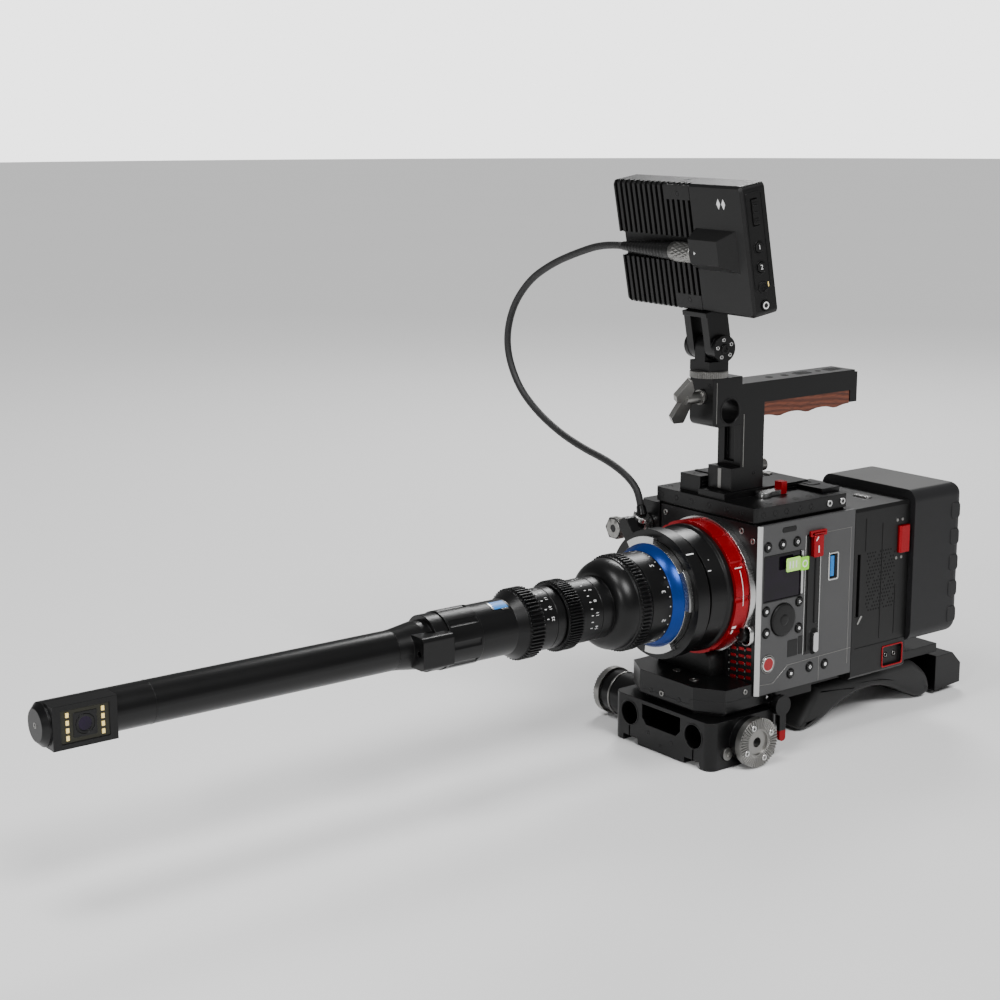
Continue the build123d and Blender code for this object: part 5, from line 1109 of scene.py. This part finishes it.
# ================================================================ handle and hinge
def handle_details():
    """Slots, rims and edge lines of the handle, the pan collar and the hinge screws."""
    top = top_face(234.3)
    # painted shade: the slots are thin near-black plates, not cuts
    slots = [plate(top.at(0, y), w, h, 0.12, 2.0, 0.04) for y, w,
             h in ((58, 5, 5), (72, 5.0, 5.0), (88, 7.0, 13.0), (103, 4, 4), (116, 7.0, 13.0))]
    build("bar_slots", slots, hole_shade, "rig")
    rims = [frame_ring(top.at(0, y), rounded(w + 1.2, h + 1.2, 2.6), rounded(w, h, 2.0), 0.2) for y, w, h in
            ((88, 7.0, 13.0), (116, 7.0, 13.0))]
    build("bar_slot_rims", rims, black_satin, "rig")
    side = right_face(10.5)
    bore = frame_ring(side.at(13.8, 218.0), circle(8.6), circle(7.65), 0.35)
    build("handle_bore_rim", [bore], black_satin, "rig")
    lines = [plate(side.at(26.0, 198.0), 0.6, 34.0, 0.3, 0.2, 0.1),
             plate(side.at(2.2, 224.0), 0.5, 26.0, 0.2, 0.2, 0.08)]
    build("handle_edges", lines, dull_steel, "rig")
    screws = [socket_screw(side.at(36.0, 176.0), 1.3, 0.3),
              socket_screw(front_face(-1.0).at(7.0, 235.0), 1.2, 0.3)]
    build("handle_small_screws", screws, black_satin, "rig")
    foot = [plate(front_face(16.0).at(0.0, 173.6), 3.0, 13.0, 0.3, 0.6)]
    build("foot_groove", foot, dull_steel, "rig")
    origin = Place((0, PAN_Y, 239.7), (1, 0, 0), (0, 1, 0), (0, 0, 1)).turned(PAN_TURN)
    collar = [(toothed(12.1, 0.35, 60, 360), 0.0), (toothed(12.1, 0.35, 60, 360), 3.4),
              (circle(11.4, 360), 3.8)]
    build("pan_collar", [stack([(circle(11.2, 360), -0.2), *collar], origin)], dull_steel, "pan_base",
          sharp=25)
    for side_sign, face in ((1, right_face(15.0)), (-1, left_face(-15.0))):
        screws = []
        for number in range(5):
            angle = math.radians(90 + number * 72)
            screws.append(socket_screw(on_monitor(face.at(5.6 * math.cos(angle), 5.6 * math.sin(angle))),
                                       1.35, 0.4))
        side_name = "right" if side_sign > 0 else "left"
        build(f"hinge_screws_{side_name}", screws, steel, "monitor")
        hub = stack([(circle(3.0), 0), (circle(3.0), 0.5), (circle(2.6), 0.8), (circle(1.7), 0.8),
                     (circle(1.6), 0.1)], on_monitor(face))
        build(f"hinge_hub_{side_name}", [hub], black_satin, "monitor")


handle_details()


# ================================================================ monitor
def monitor_details():
    """Key rims, marks, threads, lamp, ridges and bezel in the monitor's own coordinates."""
    cx, cz, x1 = -8.4, 63.6, 55.1
    back = front_face(2.5 - 17.7 / 2)
    side = right_face(x1)
    diamond = polygon(3.2, 4, 24) * (0.55, 1.0)
    marks = [stack([(diamond, -0.05), (diamond, 0.07)], on_monitor(back.at(33.0 + shift, 92.0)))
             for shift in (0.0, 4.6)]
    build("monitor_mark", marks, white_mark, "monitor")
    build("monitor_side_bay", [frame_ring(on_monitor(side.at(2.5, cz + 6.0)), rounded(12.4, 58.0, 1.6),
                                          rounded(11.2, 56.8, 1.2), 0.3)],
          black_satin, "monitor")
    rings = [frame_ring(on_monitor(side.at(2.5, cz + z)), circle(4.0, 32), circle(3.3, 32),
                        0.35) for z in (2.0, -10.0)]
    rings.append(frame_ring(on_monitor(side.at(2.5, cz - 22.0)), circle(3.6, 32), circle(2.4, 32), 0.5))
    build("monitor_key_rims", rings, black_satin, "monitor")
    # painted shade: a flat near-black disc stands for the jack's hole
    build("monitor_jack", [stack([(circle(2.3, 32), -0.05), (circle(2.3, 32), 0.08)],
                                 on_monitor(side.at(2.5, cz - 22.0)))], hole_shade, "monitor")
    for name, text, z in (("monitor_key_one", "1", 2.0), ("monitor_key_two", "2", -10.0)):
        build(f"{name}_mark", [flat_mark(text, 4.0, on_monitor(side.at(2.5, cz + z, 0.8)))], white_mark,
              name)
    mark = frame_ring(on_monitor(side.at(2.5, cz - 33.0, 0.8)), circle(2.2, 32), circle(1.5, 32), 0.1, 0.03)
    build("monitor_power_mark", [mark], white_mark, "monitor_power_key")
    build("monitor_led", [plate(on_monitor(side.at(6.6, cz - 21.0)), 0.7, 3.0, 0.15, 0.3, 0.04)], lamp,
          "monitor")
    build("monitor_rocker_ridges", [plate(on_monitor(side.at(2.5, cz + 23.0 + z, 0.8)), 3.6, 0.7, 0.35, 0.3,
                                          0.1) for z in (-5.5, -4, 0, 4, 5.5)],
          black_satin, "monitor_rocker")
    holes = [stud_hole(on_monitor(back.at(-6.0, cz + z)), 1.4, 0.4) for z in (33.0, -33.0)]
    holes += [stud_hole(on_monitor(top_face(cz + 39.5).at(-6.0, 2.5)), 2.6, 0.6)]
    build("monitor_threads", holes, black_satin, "monitor")
    triangle = polygon(1.2, 3, 24)
    hump_face = on_monitor(front_face(2.5 - 17.7 / 2 - 7.0).at(13.5, cz - 1.0))
    build("monitor_socket_mark", [stack([(triangle, -0.05), (triangle, 0.06)], hump_face)], white_mark,
          "monitor")
    bezel = frame_ring(on_monitor(rear_face(2.5 + 17.7 / 2).at(-cx, cz)), rounded(116.0, 68.0, 1.5),
                       rounded(113.0, 65.0, 0.8), 0.3)
    build("monitor_bezel", [bezel], black_satin, "monitor")


monitor_details()


# ================================================================ plugs at the camera and the probe
def camera_plug_details():
    """Collet collar leaning with the cable, hexagon nut, knurled sleeve and band of the camera's plug."""
    mouth = np.array((-57.5, -1.0, 136.0))
    lean = math.radians(28.0)
    up = np.array((math.sin(lean), 0, math.cos(lean)))
    place = Place(mouth, (0, 1, 0), np.cross(up, (0, 1, 0)), up)
    collet = stack([(circle(5.2, 40), 4.2), (circle(5.7, 40), 4.6), (circle(5.7, 40), 7.0),
                    (circle(5.1, 40), 7.7), (circle(3.7, 40), 7.7)], place)
    build("plug_collar", [collet], steel, "rig")
    front = front_face(-23.0).at(-57.5, 136.0)
    nut = stack([(polygon(7.7, 6, 48), -6.0), (polygon(7.7, 6, 48), -0.6), (circle(6.2, 48), 0.15),
                 (circle(2.6, 48), 0.15), (circle(2.2, 48), -0.6)], front)
    build("plug_nut", [nut], dull_steel, "rig")
    sleeve = [(circle(5.65, 176), 4.0)]
    for step in range(21):
        share = step / 20
        sleeve.append((knurled(6.1, 0.35, 22, share * 0.5, 176), 7.0 + share * 7.0))
    sleeve += [(circle(5.7, 176), 14.3), (circle(5.7, 176), 21.0)]
    levels = [(outline, -height) for outline, height in sleeve[::-1]]
    build("plug_sleeve", [stack(levels, front)], black_satin, "rig", sharp=60)
    build("plug_band", [stack([(circle(5.9, 64), -29.5), (circle(6.1, 64), -29.2), (circle(6.1, 64), -22.5),
                               (circle(5.9, 64), -22.2)], front)],
          steel, "rig")


def probe_details():
    """Window frame, objective ring, lamp board, tube seams and tip screw of the probe."""
    face = Place((12.2, 0, 0), (0, 1, 0), (0, 0, 1), (1, 0, 0))
    middle = -427.9
    window = frame_ring(face.at(middle, LENS_Z, -0.6), rounded(13.0, 13.0, 0.8), circle(5.2), 0.3)
    build("probe_window_frame", [window], black_satin, "probe")
    lens_ring = stack([(circle(5.0), -0.2), (circle(5.0), 0.25), (circle(4.4), 0.35), (circle(3.6), 0.05),
                       (circle(3.5), -0.2)],
                      face.at(middle, LENS_Z, -0.6), loop=True)
    build("probe_objective", [lens_ring], black_satin, "probe")
    sheet = frame_ring(face.at(middle, LENS_Z, -0.6), rounded(26.0, 17.0, 0.5), circle(5.1), 0.06, 0.02,
                       0.02)
    build("probe_board", [sheet], board_dark, "probe")
    seams = [stack([(circle(11.66, 96), y), (circle(11.72, 96), y + 0.15), (circle(11.66, 96), y + 0.3),
                    (circle(11.3, 96), y + 0.3),
                    (circle(11.3, 96), y)], LENS_AXIS, loop=True) for y in (388.0, 237.6)]
    build("probe_seams", seams, black_satin, "probe")
    tip = stack([(circle(1.6, 24), -0.3), (circle(1.6, 24), 0.12), (circle(1.1, 24), 0.12),
                 (circle(1.0, 24), -0.2)],
                front_face(-449.4).at(0.0, LENS_Z))
    build("probe_tip_screw", [tip], dull_steel, "probe")


board_dark = finish("lamp_board", Coat(rgb(0.010, 0.010, 0.006), rgb(0.022, 0.021, 0.012), 0.45), edge=0.0)
camera_plug_details()
probe_details()


# ================================================================ stage
WORLD_DIM, WORLD_SEEN = 0.20, 3.0


def aimed(holder, where, aim):
    """Puts a light at a point, facing another."""
    holder.location = where
    holder.rotation_mode = "QUATERNION"
    holder.rotation_quaternion = (aim - where).to_track_quat("-Z", "Y")


def stage():
    """Pale floor, soft key from the right and above, a weak fill and a rim."""
    mesh = bpy.data.meshes.new("floor")
    ring = circle(12000.0, 96) * MM
    mesh.from_pydata([(x, y, -0.0005) for x, y in ring], [], [list(range(96))])
    floor = bpy.data.objects.new("floor", mesh)
    bpy.context.scene.collection.objects.link(floor)
    shader = Shader("pale_floor")
    surface = shader.node("ShaderNodeBsdfPrincipled")
    shader.feed(surface.inputs["Base Color"], shader.blend(shader.noise(0.002, 2.0), rgb(0.88, 0.88, 0.88),
                                                           rgb(0.90, 0.90, 0.90)))
    surface.inputs["Roughness"].default_value = 0.9
    output = shader.node("ShaderNodeOutputMaterial")
    shader.tree.links.new(surface.outputs[0], output.inputs[0])
    mesh.materials.append(shader.material)
    world = bpy.data.worlds.new("studio")
    bpy.context.scene.world = world
    world.use_nodes = True
    tree = world.node_tree
    background = tree.nodes["Background"]
    background.inputs[0].default_value = (1.0, 1.0, 1.0, 1.0)
    rays = tree.nodes.new("ShaderNodeLightPath")
    strength = tree.nodes.new("ShaderNodeMapRange")
    strength.inputs[3].default_value, strength.inputs[4].default_value = WORLD_DIM, WORLD_SEEN
    tree.links.new(rays.outputs["Is Camera Ray"], strength.inputs[0])
    tree.links.new(strength.outputs[0], background.inputs[1])
    sun = bpy.data.lights.new("key", "SUN")
    sun.energy, sun.angle = 2.6, math.radians(24.0)
    holder = bpy.data.objects.new("key", sun)
    bpy.context.scene.collection.objects.link(holder)
    aimed(holder, Vector((1.1, -0.10, 1.25)), Vector((0.0, 0.0, 0.0)))
    for name, where, aim, size, power in (
            ("rim", (-0.9, 1.0, 1.3), (0.0, 0.0, 0.2), 0.5, 14.0),
            ("front", (0.75, -1.5, 0.8), (0.0, -0.1, 0.15), 0.22, 7.0),
            ("lens_top", (0.1, -0.6, 1.1), (0.0, -0.25, 0.1), 0.35, 6.0)):
        light = bpy.data.lights.new(name, "AREA")
        light.size, light.energy = size, power
        holder = bpy.data.objects.new(name, light)
        bpy.context.scene.collection.objects.link(holder)
        aimed(holder, Vector(where), Vector(aim))


stage()
